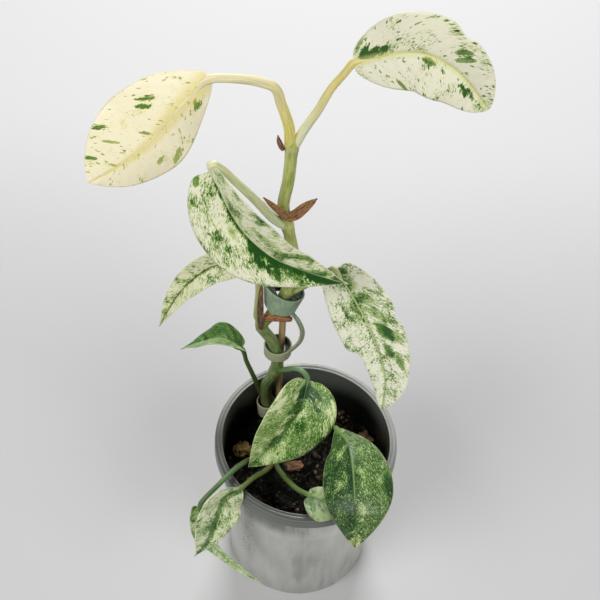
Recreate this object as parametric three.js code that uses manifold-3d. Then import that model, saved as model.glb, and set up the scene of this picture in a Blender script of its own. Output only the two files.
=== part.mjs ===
// Variegated Hanoman epipremnum in a plastic nursery pot.
// Millimetres, +Z up. The origin is the middle of the pot's flat base, on the surface it stands on.
// The viewer of the plant stands on the -Y side.
import * as THREE from 'three';
import { mergeVertices } from 'three/addons/utils/BufferGeometryUtils.js';
import Module from 'manifold-3d';

const wasm = await Module();
wasm.setup();

// Driving sizes of the pot
const POT_HEIGHT = 135;
const POT_RIM_RADIUS = 59.5;
const POT_BASE_RADIUS = 51;
const POT_WALL = 1.2;
const POT_LIP = 5.2;
const POT_SKIRT = 9;
const POT_FLOOR = 1.6;
const POT_SIDES = 48;
const DRAIN_HOLES = 6;
const DRAIN_RADIUS = 4;
const DRAIN_CIRCLE = 37;

// Driving sizes of what stands in it
const SOIL_LEVEL = 100;
const SEAT_GAP = 0.3;
const STAKE_RADIUS = 2.2;
const STAKE_AT = [-20.5, 41];
const STAKE_TOP = 252;
const STAKE_FOOT = 45;
const STAKE_SIDES = 12;
const BLADE_THICKNESS = 0.8;
const BLADE_STEPS_ALONG = 15;
const BLADE_STEPS_ACROSS = 6;
const BLADE_LEAST_HALF_WIDTH = 0.4;
const PETIOLE_SIDES = 6;
const PETIOLE_STEPS = 10;
const MIDRIB_SIDES = 5;
const MIDRIB_STEPS = 8;
const STEM_SIDES = 8;
const STEM_STEPS = 40;
const SHOOT_STEPS = 10;
const TIE_THICKNESS = 1.4;
const TIE_SIDES = 24;
const TIE_RUN_STEPS = 18;
const SHEATH_THICKNESS = 0.7;
const SHEATH_STEPS_ALONG = 7;
const SHEATH_STEPS_ACROSS = 2;

// Turns a geometry into a solid: only its positions are kept, with shared corners merged
function toSolid(geometry) {
  geometry.deleteAttribute('normal');
  geometry.deleteAttribute('uv');
  const merged = mergeVertices(geometry, 1e-4);
  const vertProperties = new Float32Array(merged.attributes.position.array);
  const triVerts = new Uint32Array(merged.index.array);
  return new wasm.Manifold(new wasm.Mesh({ numProp: 3, vertProperties, triVerts }));
}

function toGeometry(solid) {
  const mesh = solid.getMesh();
  const geometry = new THREE.BufferGeometry();
  geometry.setAttribute('position', new THREE.BufferAttribute(mesh.vertProperties, 3));
  geometry.setIndex(new THREE.BufferAttribute(mesh.triVerts, 1));
  geometry.computeVertexNormals();
  return geometry;
}

function vector(point) {
  return new THREE.Vector3(point[0], point[1], point[2]);
}

function curveThrough(points) {
  return new THREE.CatmullRomCurve3(points.map(vector), false, 'centripetal');
}

function mix(a, b, share) {
  return a + (b - a) * share;
}

// Moves every corner of a geometry to the place that a rule gives for it
function reshape(geometry, rule) {
  const positions = geometry.attributes.position;
  for (let i = 0; i < positions.count; i += 1) {
    const moved = rule(positions.getX(i), positions.getY(i), positions.getZ(i));
    positions.setXYZ(i, moved.x, moved.y, moved.z);
  }
  return geometry;
}

// A round stalk along a smooth route; radiusAt gives its radius from the share of the route and the place
function stalk(points, radiusAt, sides, steps) {
  const route = curveThrough(points);
  const frames = route.computeFrenetFrames(steps, false);
  const tube = new THREE.CylinderGeometry(1, 1, 1, sides, steps);
  reshape(tube, (x, y, z) => {
    const share = Math.min(Math.max(y + 0.5, 0), 1);
    const step = Math.round(share * steps);
    const place = route.getPointAt(share);
    const radius = radiusAt(share, place);
    place.addScaledVector(frames.normals[step], x * radius);
    place.addScaledVector(frames.binormals[step], -z * radius);
    return place;
  });
  return toSolid(tube);
}

// Gives an open sheet its thickness, with the same triangles on both faces and a wall round its edge
function thicken(sheet, thickness) {
  sheet.computeVertexNormals();
  const positions = sheet.attributes.position;
  const normals = sheet.attributes.normal;
  const count = positions.count;
  const corners = new Float32Array(count * 6);
  for (let i = 0; i < count; i += 1) {
    const place = new THREE.Vector3().fromBufferAttribute(positions, i);
    const normal = new THREE.Vector3().fromBufferAttribute(normals, i);
    place.clone().addScaledVector(normal, thickness / 2).toArray(corners, i * 3);
    place.addScaledVector(normal, -thickness / 2).toArray(corners, (count + i) * 3);
  }
  const upper = Array.from(sheet.index.array);
  const triangles = [];
  const edges = new Map();
  for (let i = 0; i < upper.length; i += 3) {
    const face = [upper[i], upper[i + 1], upper[i + 2]];
    triangles.push(face[0], face[1], face[2]);
    triangles.push(face[0] + count, face[2] + count, face[1] + count);
    for (let k = 0; k < 3; k += 1) {
      const from = face[k];
      const to = face[(k + 1) % 3];
      if (edges.has(`${to},${from}`)) {
        edges.delete(`${to},${from}`);
      } else {
        edges.set(`${from},${to}`, [from, to]);
      }
    }
  }
  for (const [from, to] of edges.values()) {
    triangles.push(to, from, from + count);
    triangles.push(to, from + count, to + count);
  }
  const solid = new THREE.BufferGeometry();
  solid.setAttribute('position', new THREE.BufferAttribute(corners, 3));
  solid.setIndex(triangles);
  return toSolid(solid);
}

// How wide a half blade is, from 0 to 1, at a share of its length
function bladeWidth(leaf, share) {
  const along = Math.min((share + leaf.shoulder) / (1 + leaf.shoulder), 1 - 1e-9);
  const taper = leaf.fullness * (1 - leaf.widest) / leaf.widest;
  return (along / leaf.widest) ** leaf.fullness * ((1 - along) / (1 - leaf.widest)) ** taper;
}

// The point of a blade's middle surface: share runs from base to tip, across from -1 (left) to 1 (right)
function bladePoint(leaf, route, share, across) {
  const base = vector(leaf.midrib[0]);
  const chord = vector(leaf.midrib[leaf.midrib.length - 1]).sub(base).normalize();
  const ahead = route.getTangentAt(share).lerp(chord, leaf.straight).normalize();
  const face = vector(leaf.face).lerp(vector(leaf.tipFace), share);
  const up = face.addScaledVector(ahead, -face.dot(ahead)).normalize();
  const side = new THREE.Vector3().crossVectors(ahead, up);
  const onRight = across > 0;
  const out = Math.abs(across);
  const reach = onRight ? leaf.right : leaf.left;
  let width = reach * bladeWidth(leaf, share);
  if (onRight && leaf.step) {
    width *= 1 - leaf.step.depth * (0.5 + 0.5 * Math.tanh((share - leaf.step.at) / leaf.step.length));
  }
  width = Math.max(width, BLADE_LEAST_HALF_WIDTH);
  const folds = onRight ? leaf.foldRight : leaf.foldLeft;
  const fold = THREE.MathUtils.degToRad(mix(folds[0], folds[1], share) - leaf.curl * out);
  const phase = leaf.phase + (onRight ? 0.27 : 0);
  const wave = leaf.wave * bladeWidth(leaf, share) * Math.sin(2 * Math.PI * (leaf.waves * share + phase));
  const place = route.getPointAt(share);
  place.addScaledVector(side, Math.sign(across) * width * out * Math.cos(fold));
  place.addScaledVector(up, width * out * Math.sin(fold) + wave * out * out);
  place.addScaledVector(ahead, -leaf.lobe * reach * out * (1 - share) ** 3);
  return place;
}

// The blade alone, as one thin solid whose steps crowd towards its base and tip
function blade(leaf, stepsAlong, stepsAcross, thickness) {
  const route = curveThrough(leaf.midrib);
  const sheet = new THREE.PlaneGeometry(2, 1, stepsAcross, stepsAlong);
  reshape(sheet, (x, y) => {
    const even = y + 0.5;
    const crowded = (1 - Math.cos(Math.PI * even)) / 2;
    return bladePoint(leaf, route, Math.min(mix(even, crowded, 0.5), 1), x);
  });
  return thicken(sheet, thickness);
}

// The petiole of a leaf, grown by a clearance where another piece makes room for it
function petiole(leaf, clearance) {
  const points = [...leaf.petiole, leaf.midrib[0]];
  const [foot, top] = leaf.stalk;
  return stalk(points, (share) => mix(foot, top, share) + clearance, PETIOLE_SIDES, PETIOLE_STEPS);
}

// The midrib, a tapering ridge under the blade that carries the petiole on
function midrib(leaf) {
  const top = leaf.stalk[1];
  const points = leaf.midrib.slice(0, -1);
  const drop = vector(leaf.face).normalize().multiplyScalar(-0.45 * top);
  const lowered = points.map((point) => vector(point).add(drop).toArray());
  return stalk(lowered, (share) => mix(top, 0.5, share), MIDRIB_SIDES, MIDRIB_STEPS);
}

const leafDefaults = { straight: 0.3, curl: 8, wave: 0.8, waves: 2.6, phase: 0, step: null, avoid: [] };

// Eleven leaves: route of the petiole from its node, route of the midrib from base to tip,
// the way the upper face looks at base and tip, and the form of each half blade
const LEAVES = [
  {
    name: 'leaf_1_top_left',
    petiole: [[-21, 30, 352], [-22, 28, 366], [-26, 26, 381], [-29, 24, 391], [-35, 22, 395], [-45, 18, 399]],
    stalk: [2.9, 1.9],
    midrib: [[-58, 14, 400], [-71, 8, 387], [-85, 3, 370], [-99, -1, 359], [-112, -4, 351]],
    face: [0.1, -0.96, 0.24], tipFace: [0.15, -0.97, 0.19],
    left: 18.5, right: 25, widest: 0.54, fullness: 0.95, shoulder: 0.01, lobe: 0.2, straight: 0.6,
    foldLeft: [-12, 0], foldRight: [-12, 0],
    colour: 0xece3ae,
  },
  {
    name: 'leaf_2_top_right',
    petiole: [[-19, 30, 353], [-15, 29, 364], [-9, 27, 378], [-4, 25, 392], [1, 23, 402]],
    stalk: [2.5, 1.7],
    midrib: [[5, 22, 409], [25, 16, 420], [34, 13, 422], [47, 9, 418], [63, 5, 403]],
    face: [-0.25, -0.94, 0.24], tipFace: [-0.28, -0.96, 0.03],
    left: 18.5, right: 17.5, widest: 0.5, fullness: 0.64, shoulder: 0.01, lobe: 0.1, straight: 0.3,
    foldLeft: [8, 20], foldRight: [8, 20], phase: 0.4, avoid: ['leaf_1_top_left'],
    colour: 0xe4e4cf,
  },
  {
    name: 'leaf_3_large_front',
    petiole: [[-21, 30, 298], [-27, 26, 306], [-37, 21, 324], [-47, 16, 341], [-53, 13, 351], [-57, 11, 355]],
    stalk: [2.8, 1.8],
    midrib: [[-57, 11, 351], [-51, 5, 340], [-42, -1, 326], [-27, -5, 312], [-12, -7, 306], [13, -7, 297]],
    face: [-0.13, -0.98, 0.17], tipFace: [0.03, -0.93, 0.37],
    left: 21.5, right: 24.5, widest: 0.34, fullness: 0.65, shoulder: 0.02, lobe: 0.2, straight: 0.5,
    foldLeft: [52, 22], foldRight: [5, 10], phase: 0.7,
    colour: 0xb9c79c,
  },
  {
    name: 'leaf_4_right',
    petiole: [[-15, 31, 244], [-9, 31, 249], [-3, 28, 258], [3, 25, 269]],
    stalk: [2.2, 1.6],
    midrib: [[7, 22, 275], [19, 13, 262], [32, 2, 242], [41, -8, 219], [42, -15, 198]],
    face: [0.02, -0.9, 0.44], tipFace: [-0.3, -0.91, 0.3],
    left: 18.5, right: 18.5, widest: 0.44, fullness: 0.51, shoulder: 0.01, lobe: 0.22, straight: 0.3,
    foldLeft: [5, 15], foldRight: [0, 10], step: { at: 0.56, depth: 0.4, length: 0.025 }, phase: 0.2,
    colour: 0xc9d2b0,
  },
  {
    name: 'leaf_5_left',
    petiole: [[-33, 33, 208], [-36, 33, 214], [-36, 33, 226], [-35.5, 33, 241], [-37, 33, 253]],
    stalk: [1.8, 1.5],
    midrib: [[-42, 32, 261], [-59, 30, 262], [-75, 26, 249], [-82, 23, 239], [-93, 20, 215]],
    face: [-0.22, -0.85, 0.47], tipFace: [-0.27, -0.82, 0.51],
    left: 10.5, right: 10.5, widest: 0.31, fullness: 0.5, shoulder: 0, lobe: 0, straight: 0,
    foldLeft: [34, 60], foldRight: [34, 60], wave: 0.5,
    colour: 0x9fb57c,
  },
  {
    name: 'leaf_6_low_left',
    petiole: [[-28, 36.5, 112], [-32, 37, 124], [-38, 39, 143], [-43, 41, 157]],
    stalk: [1.9, 1.5],
    midrib: [[-46, 42, 169], [-59, 42, 179], [-71, 42, 174], [-86, 42, 164]],
    face: [-0.15, 0.08, 0.99], tipFace: [-0.14, 0.39, 0.91],
    left: 14, right: 11, widest: 0.36, fullness: 0.77, shoulder: 0.04, lobe: 0.13, straight: 0,
    foldLeft: [45, 10], foldRight: [45, 10], wave: 0.4,
    colour: 0x3c5a36,
  },
  {
    name: 'leaf_7_over_soil',
    petiole: [[-24, 35, 157], [-16, 31, 165], [-10, 28, 171], [-5, 25, 172]],
    stalk: [2.1, 1.6],
    midrib: [[-2, 22, 168], [-6, 6, 156], [-21, -8, 138], [-36, -18, 122]],
    face: [0.25, -0.87, 0.43], tipFace: [0.13, -0.86, 0.5],
    left: 25, right: 25, widest: 0.34, fullness: 0.55, shoulder: 0.02, lobe: 0.04, straight: 0.1,
    foldLeft: [12, 20], foldRight: [34, 30], phase: 0.55,
    colour: 0x7f9f5c,
  },
  {
    name: 'leaf_8_front_right',
    petiole: [[-20, 12, 110], [-5, 13, 117], [9, 10, 129], [17, 5, 141]],
    stalk: [2, 1.6],
    midrib: [[19, -1, 149], [26, -20, 162], [29, -43, 164], [31, -62, 157], [33, -75, 138]],
    face: [-0.05, -0.24, 0.97], tipFace: [-0.15, -0.26, 0.95],
    left: 26, right: 21, widest: 0.53, fullness: 1, shoulder: 0, lobe: 0.16, straight: 0.3,
    foldLeft: [-22, -15], foldRight: [-22, -15], phase: 0.1,
    colour: 0x557a45,
  },
  {
    name: 'leaf_9_young_front',
    petiole: [[-20, -5, 111], [-17, -13, 115], [-11, -24, 122], [-3, -37, 133]],
    stalk: [1.9, 1.5],
    midrib: [[4, -46, 144], [15, -51, 145], [26, -54, 144]],
    face: [-0.12, -0.62, 0.78], tipFace: [-0.12, -0.62, 0.78],
    left: 8.5, right: 12.5, widest: 0.41, fullness: 0.67, shoulder: 0.01, lobe: 0.28, straight: 0.6,
    foldLeft: [18, 6], foldRight: [8, 8], wave: 0,
    colour: 0xc2ccae,
  },
  {
    name: 'leaf_10_front_left',
    petiole: [[-20, -5, 111], [-23, -14, 116], [-31, -27, 127]],
    stalk: [1.9, 1.5],
    midrib: [[-38, -43, 141], [-48, -53, 144], [-52, -63, 136], [-56, -71, 124], [-64, -74, 106]],
    face: [0.41, -0.79, 0.44], tipFace: [0.35, -0.79, 0.5],
    left: 16.5, right: 18, widest: 0.34, fullness: 0.78, shoulder: 0, lobe: 0, straight: 0.6,
    foldLeft: [10, -12], foldRight: [45, 25], phase: 0.3, avoid: ['leaf_9_young_front'],
    colour: 0xa9bd84,
  },
  {
    name: 'leaf_11_low_front_left',
    petiole: [
      [-20, 4, 110], [-30, -3, 111], [-36, -8, 114], [-40, -21, 131], [-44, -30, 139], [-52, -43, 143],
    ],
    stalk: [2, 1.5],
    midrib: [
      [-62, -54, 136], [-61, -59, 126], [-58, -63, 113], [-51, -66, 100], [-40, -68, 84], [-22, -71, 65],
    ],
    face: [0.06, -0.96, 0.28], tipFace: [0, -0.97, 0.25],
    left: 4, right: 8.5, widest: 0.41, fullness: 0.57, shoulder: 0.07, lobe: 0.28, straight: 0.1,
    foldLeft: [18, 25], foldRight: [18, 25], step: { at: 0.36, depth: 0.55, length: 0.09 }, wave: 0.3,
    colour: 0x6f934f,
  },
];

// The climbing stem, from under the soil to the top node, with the heights of its nodes
const STEM_ROUTE = [
  [-27, 38, 62], [-27, 37, 102], [-29, 36, 139], [-24, 35, 155], [-23, 34, 178], [-26, 34, 190],
  [-33, 33, 207], [-29, 33, 215], [-22, 32, 233], [-17, 31, 248], [-15, 30, 268], [-18, 30, 286],
  [-21, 30, 301], [-23, 30, 312], [-21, 30, 331], [-20, 30, 358],
];
const STEM_NODES = [118, 157, 207, 243, 300, 353];
const STEM_FOOT_RADIUS = 4;
const STEM_TOP_RADIUS = 3.2;
const STEM_NODE_SWELL = 0.6;
const STEM_NODE_LENGTH = 4;

function mainStem(clearance) {
  const lowest = STEM_ROUTE[0][2];
  const highest = STEM_ROUTE[STEM_ROUTE.length - 1][2];
  const radiusAt = (share, place) => {
    const rise = (place.z - lowest) / (highest - lowest);
    let radius = mix(STEM_FOOT_RADIUS, STEM_TOP_RADIUS, rise) + clearance;
    for (const height of STEM_NODES) {
      radius += STEM_NODE_SWELL * Math.exp(-(((place.z - height) / STEM_NODE_LENGTH) ** 2));
    }
    return radius;
  };
  return stalk(STEM_ROUTE, radiusAt, STEM_SIDES, STEM_STEPS);
}

// The short shoot that creeps over the soil under leaf 7 and carries the four lowest leaves
const SHOOT_ROUTE = [[-16, 27, 84], [-17, 23, 101], [-20, 10, 109], [-20, -7, 111]];
const SHOOT_FOOT_RADIUS = 3.2;
const SHOOT_TIP_RADIUS = 2.6;

function sideShoot(clearance) {
  const radiusAt = (share) => mix(SHOOT_FOOT_RADIUS, SHOOT_TIP_RADIUS, share) + clearance;
  return stalk(SHOOT_ROUTE, radiusAt, STEM_SIDES, SHOOT_STEPS);
}

// Potting soil: its surface rises and falls in lumps, and holds the stems and the stake in plain holes
function soilHeight(x, y) {
  const coarse = Math.sin(x * 0.16 + 1.1) * Math.cos(y * 0.14 - 0.4);
  const fine = Math.sin(x * 0.47 - y * 0.21) + Math.cos(y * 0.53 + x * 0.31 + 0.8);
  return SOIL_LEVEL + 1.3 * coarse + 0.8 * fine;
}

function potInnerRadius(height) {
  const share = (height - POT_FLOOR) / (POT_HEIGHT - POT_FLOOR);
  return mix(POT_BASE_RADIUS - POT_WALL, POT_RIM_RADIUS - POT_LIP, share);
}

// Loose lumps that rest on the soil
const LUMPS = [
  { name: 'coir_lump', at: [-42, 6], radius: 5.6, stretch: 1.1, turn: 0.3, colour: 0x54472e },
  { name: 'bark_chip_front', at: [-7, -3], radius: 4.2, stretch: 1.7, turn: 0.25, colour: 0x8a6347 },
  { name: 'bark_chip_right', at: [42, 23], radius: 4.4, stretch: 1.3, turn: 2.2, colour: 0x7d5a3c },
];
const LUMP_ROOM = 12;
const SOIL_RINGS = 7;
const SOIL_CRUMBS = 24;
const CRUMB_SEED = 41;
const CRUMB_CIRCLE = 47;
const CRUMB_LIFT = 0.3;

function seededRandom(seed) {
  let state = seed;
  return () => {
    state = (state * 16807) % 2147483647;
    return state / 2147483647;
  };
}

function soilBody() {
  const top = SOIL_LEVEL;
  const wall = potInnerRadius(top) - SEAT_GAP;
  const foot = potInnerRadius(POT_FLOOR) - SEAT_GAP;
  const floor = POT_FLOOR + SEAT_GAP;
  const profile = [new THREE.Vector2(0, floor), new THREE.Vector2(foot - 1, floor)];
  profile.push(new THREE.Vector2(foot, floor + 1));
  for (let ring = 0; ring <= SOIL_RINGS; ring += 1) {
    profile.push(new THREE.Vector2(wall * (1 - ring / SOIL_RINGS), top));
  }
  const body = new THREE.LatheGeometry(profile, POT_SIDES);
  body.rotateX(Math.PI / 2);
  reshape(body, (x, y, z) => {
    const level = z > top - 1 ? soilHeight(x, y) : z;
    return new THREE.Vector3(x, y, level);
  });
  return toSolid(body);
}

function soilCrumb(x, y, size, turn) {
  const crumb = new THREE.BoxGeometry(2.2 * size, 1.3 * size, size);
  crumb.rotateX(0.4 * Math.cos(turn * 5));
  crumb.rotateY(0.4 * Math.sin(turn * 3));
  crumb.rotateZ(turn);
  crumb.translate(x, y, soilHeight(x, y) + CRUMB_LIFT);
  return toSolid(crumb);
}

// The soil with crumbs and bark bits half sunk in it, placed by a seeded draw clear of the lumps
function soil() {
  const random = seededRandom(CRUMB_SEED);
  let body = soilBody();
  for (let crumb = 0; crumb < SOIL_CRUMBS; crumb += 1) {
    const angle = random() * 2 * Math.PI;
    const distance = CRUMB_CIRCLE * Math.sqrt(random());
    const size = 1.8 + 1.8 * random();
    const turn = random() * Math.PI;
    const x = distance * Math.cos(angle);
    const y = distance * Math.sin(angle);
    if (LUMPS.every(({ at }) => Math.hypot(at[0] - x, at[1] - y) > LUMP_ROOM)) {
      body = body.add(soilCrumb(x, y, size, turn));
    }
  }
  return body;
}

// A loose lump that rests on the soil: its underside follows the soil with the seating gap
function restingLump({ at, radius, stretch, turn }) {
  const lump = new THREE.IcosahedronGeometry(radius, 1);
  reshape(lump, (a, b, c) => {
    const rough = 1 + 0.12 * Math.sin(a * 1.3 + b * 0.9) * Math.cos(c * 1.7 - a * 0.6);
    return new THREE.Vector3(a * rough * stretch, b * rough, c * rough * 0.75);
  });
  lump.rotateZ(turn);
  lump.translate(at[0], at[1], soilHeight(at[0], at[1]) + radius * 0.35);
  return toSolid(lump);
}

// Pot: wall, folded-over rim with a skirt, an inner bead, a flat floor and its drainage holes.
// The profile runs from the base up the outside, over the rim and down the inside.
function pot() {
  const top = POT_HEIGHT;
  const foot = POT_BASE_RADIUS;
  const rim = POT_RIM_RADIUS;
  const inner = rim - POT_LIP;
  const skirtFoot = top - POT_SKIRT;
  const profile = [
    [0, 0], [foot - 1.4, 0], [foot, 1.4],
    [inner + POT_WALL, top - 1.6], [rim - 1.4, top - 1.6], [rim - 1.4, skirtFoot], [rim - 0.3, skirtFoot],
    [rim, skirtFoot + 1], [rim - 0.4, top - 0.9], [rim - 1.2, top],
    [inner + 2.1, top], [inner + 1.8, top - 0.5], [inner + 1.3, top - 0.5], [inner + 1, top],
    [inner + 0.3, top], [inner, top - 0.4],
    [foot - POT_WALL, POT_FLOOR + 0.6], [foot - POT_WALL - 0.6, POT_FLOOR], [0, POT_FLOOR],
  ];
  const turned = new THREE.LatheGeometry(profile.map(([r, z]) => new THREE.Vector2(r, z)), POT_SIDES);
  turned.rotateX(Math.PI / 2);
  let body = toSolid(turned);
  for (let hole = 0; hole < DRAIN_HOLES; hole += 1) {
    const angle = (hole + 0.5) * 2 * Math.PI / DRAIN_HOLES;
    const cutter = new THREE.CylinderGeometry(DRAIN_RADIUS, DRAIN_RADIUS, 6, 12);
    cutter.rotateX(Math.PI / 2);
    cutter.translate(DRAIN_CIRCLE * Math.cos(angle), DRAIN_CIRCLE * Math.sin(angle), 1);
    body = body.subtract(toSolid(cutter));
  }
  return body;
}

function stake(clearance) {
  const length = STAKE_TOP - STAKE_FOOT;
  const radius = STAKE_RADIUS + clearance;
  const rod = new THREE.CylinderGeometry(radius, radius, length, STAKE_SIDES);
  rod.rotateX(Math.PI / 2);
  rod.translate(STAKE_AT[0], STAKE_AT[1], STAKE_FOOT + length / 2);
  return toSolid(rod);
}

// A place on a loop of tape, at a height from 0 at its lower rim to 1 at its upper rim;
// x and y give the way from its middle line, with length 1 on the inner face, and outward goes on from there
function loopPlace(loop, height, x, y, outward) {
  const middle = vector(loop.foot.middle).lerp(vector(loop.top.middle), height);
  const halfX = mix(loop.foot.halfX, loop.top.halfX, height) + outward;
  const halfY = mix(loop.foot.halfY, loop.top.halfY, height) + outward;
  const drop = mix(loop.foot.tilt, loop.top.tilt, height) * x * halfX;
  return new THREE.Vector3(middle.x + halfX * x, middle.y + halfY * y, middle.z - drop);
}

// The tape of a loop
function tieLoop(loop) {
  const profile = [[1, 0], [2, 0], [2, 1], [1, 1], [1, 0]];
  const ring = new THREE.LatheGeometry(profile.map(([r, z]) => new THREE.Vector2(r, z)), TIE_SIDES);
  reshape(ring, (x, height, z) => {
    const reach = Math.hypot(x, z);
    return loopPlace(loop, height, x / reach, -z / reach, (reach - 1) * TIE_THICKNESS);
  });
  return toSolid(ring);
}

// The space inside a loop, used to trim what would reach into it
function tieCore(loop) {
  const core = new THREE.CylinderGeometry(1, 1, 1, TIE_SIDES);
  return toSolid(reshape(core, (x, y, z) => loopPlace(loop, y + 0.5, x, -z, 0)));
}

// A flat strip along a route, with its width lying along one direction
function strip(points, across, halfWidth, thickness, steps) {
  const route = curveThrough(points);
  const sheet = new THREE.PlaneGeometry(2, 1, 2, steps);
  reshape(sheet, (x, y) => {
    const share = Math.min(Math.max(y + 0.5, 0), 1);
    return route.getPointAt(share).addScaledVector(vector(across), x * halfWidth);
  });
  return thicken(sheet, thickness);
}

// The long plant tie: a wide loop round stem and stake, its free run on the right, and a lower loop
const UPPER_LOOP = {
  top: { middle: [-20.5, 35, 242], halfX: 11, halfY: 9, tilt: 0.45 },
  foot: { middle: [-22, 35, 227], halfX: 8.6, halfY: 8.8, tilt: 0.2 },
};
const LOWER_LOOP = {
  top: { middle: [-22.6, 36.5, 184], halfX: 7.6, halfY: 7.2, tilt: 0 },
  foot: { middle: [-22.6, 36.5, 176], halfX: 7.4, halfY: 7.2, tilt: 0 },
};
const TIE_RUN = [
  [-15.4, 29.2, 226], [-11, 31, 216], [-8, 32, 204], [-9, 32, 195], [-12, 32.5, 188], [-15, 34, 181],
];
const TIE_RUN_ACROSS = [0.08, 0.62, -0.78];
const TIE_RUN_HALF_WIDTH = 5.5;

function plantTie() {
  const run = strip(TIE_RUN, TIE_RUN_ACROSS, TIE_RUN_HALF_WIDTH, TIE_THICKNESS, TIE_RUN_STEPS);
  const body = tieLoop(UPPER_LOOP).add(run).add(tieLoop(LOWER_LOOP));
  return body.subtract(tieCore(UPPER_LOOP)).subtract(tieCore(LOWER_LOOP));
}

// A second tape at the soil, round the foot of the stem
const FOOT_LOOP = {
  top: { middle: [-28.8, 36.6, 118], halfX: 5.2, halfY: 5.2, tilt: 0.1 },
  foot: { middle: [-28.2, 36.6, 105], halfX: 4.9, halfY: 5, tilt: 0 },
};

// Dried brown leaf sheaths that stay at the nodes; each is one thin pointed scrap
const sheathDefaults = {
  tipFace: null, straight: 0, curl: 20, wave: 0, waves: 1, phase: 0, step: null,
  widest: 0.4, fullness: 0.5, shoulder: 0.1, lobe: 0,
};
const VIEWER = [0, -0.8, 0.6];

function driedSheath(midribRoute, half, fold) {
  const scrap = {
    ...sheathDefaults,
    midrib: midribRoute,
    face: VIEWER,
    tipFace: VIEWER,
    left: half,
    right: half,
    foldLeft: [fold, fold],
    foldRight: [fold, fold],
  };
  return blade(scrap, SHEATH_STEPS_ALONG, SHEATH_STEPS_ACROSS, SHEATH_THICKNESS);
}

// The sheath at the middle node has split into two wings
function middleSheath() {
  const leftWing = driedSheath([[-18, 25.4, 307], [-22, 25, 311], [-27, 24.6, 316], [-33, 24, 323]], 2, 25);
  const rightWing = driedSheath([[-22, 25.2, 309], [-17, 25, 311], [-12, 25, 317], [-6, 24, 325]], 2.8, 20);
  return leftWing.add(rightWing);
}

function topSheath() {
  return driedSheath([[-24, 27.2, 352.5], [-25.4, 27.2, 355], [-26.5, 27.5, 358], [-27, 27.5, 361]], 1.3, 10);
}

function capSheath() {
  return driedSheath([[-31, 28.6, 219], [-27, 28.3, 221], [-21, 28.2, 221.5], [-14.5, 29, 219]], 3.2, -15);
}

function lowSheath() {
  return driedSheath([[-33, 28.2, 209], [-33.5, 27.5, 224], [-33.5, 27.5, 238], [-33, 28, 252]], 1.9, 10);
}

const SHEATHS = [
  { name: 'dried_sheath_middle', form: middleSheath, colour: 0x7b553c },
  { name: 'dried_sheath_top', form: topSheath, colour: 0x7b553c },
  { name: 'dried_sheath_cap', form: capSheath, colour: 0x96683f },
  { name: 'dried_sheath_low', form: lowSheath, colour: 0x75553f },
];

// The parts, each cut clear of the stem, the shoot and the stake where they touch
const plant = new THREE.Group();

function addPart(name, solid, colour, roughness) {
  const material = new THREE.MeshStandardMaterial({ color: colour, roughness, metalness: 0 });
  const mesh = new THREE.Mesh(toGeometry(solid), material);
  mesh.name = name;
  plant.add(mesh);
}

const stemRoom = mainStem(SEAT_GAP);
const shootRoom = sideShoot(SEAT_GAP);
const stakeRoom = stake(SEAT_GAP);

addPart('pot', pot(), 0x9b9d9b, 0.45);

const soilSolid = soil().subtract(stemRoom).subtract(shootRoom).subtract(stakeRoom);
addPart('soil', soilSolid, 0x2a231d, 1);

const soilRoom = soilBody().translate([0, 0, SEAT_GAP]);
for (const lump of LUMPS) {
  addPart(lump.name, restingLump(lump).subtract(soilRoom), lump.colour, 1);
}

addPart('stake', stake(0), 0xc7a67d, 0.7);
addPart('main_stem', mainStem(0), 0x7f9148, 0.5);
addPart('side_shoot', sideShoot(0), 0x6d7d42, 0.55);

const placed = new Map();
for (const entry of LEAVES) {
  const leaf = { ...leafDefaults, ...entry };
  let solid = blade(leaf, BLADE_STEPS_ALONG, BLADE_STEPS_ACROSS, BLADE_THICKNESS);
  solid = solid.add(petiole(leaf, 0)).add(midrib(leaf));
  solid = solid.subtract(stemRoom).subtract(shootRoom);
  for (const other of leaf.avoid) {
    solid = solid.subtract(petiole(placed.get(other), SEAT_GAP));
  }
  placed.set(leaf.name, leaf);
  addPart(leaf.name, solid, leaf.colour, 0.4);
}

addPart('plant_tie', plantTie().subtract(stemRoom).subtract(stakeRoom), 0x7f9a80, 0.75);
addPart('foot_tie', tieLoop(FOOT_LOOP).subtract(stemRoom), 0x8f9276, 0.8);

for (const sheath of SHEATHS) {
  addPart(sheath.name, sheath.form().subtract(stemRoom), sheath.colour, 0.85);
}

export default plant;
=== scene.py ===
import math
import random
from bisect import bisect_left

import bmesh
import bpy
from bpy.props import FloatProperty, FloatVectorProperty, IntProperty, PointerProperty
from mathutils import Matrix, Vector, noise


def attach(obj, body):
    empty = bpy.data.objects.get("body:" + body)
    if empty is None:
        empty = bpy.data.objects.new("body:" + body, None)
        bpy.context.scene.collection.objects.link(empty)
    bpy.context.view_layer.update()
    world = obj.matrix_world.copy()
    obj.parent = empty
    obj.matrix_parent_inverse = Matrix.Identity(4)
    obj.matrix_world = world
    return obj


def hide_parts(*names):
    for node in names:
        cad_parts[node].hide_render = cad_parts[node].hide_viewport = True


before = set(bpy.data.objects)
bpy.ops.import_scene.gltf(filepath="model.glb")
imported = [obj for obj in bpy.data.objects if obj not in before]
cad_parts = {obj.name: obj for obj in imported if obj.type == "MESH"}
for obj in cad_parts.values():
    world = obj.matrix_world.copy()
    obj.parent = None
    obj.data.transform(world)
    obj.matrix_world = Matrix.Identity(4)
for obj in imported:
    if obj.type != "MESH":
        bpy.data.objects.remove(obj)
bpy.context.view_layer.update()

bl_info = {
    "name": "Potted variegated epipremnum",
    "version": (1, 0, 0),
    "blender": (4, 5, 0),
    "location": "3D View > Sidebar > Epipremnum",
    "description": "Builds a young variegated climbing aroid, tied to a stake in a plastic nursery pot",
    "category": "Add Mesh",
}

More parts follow.
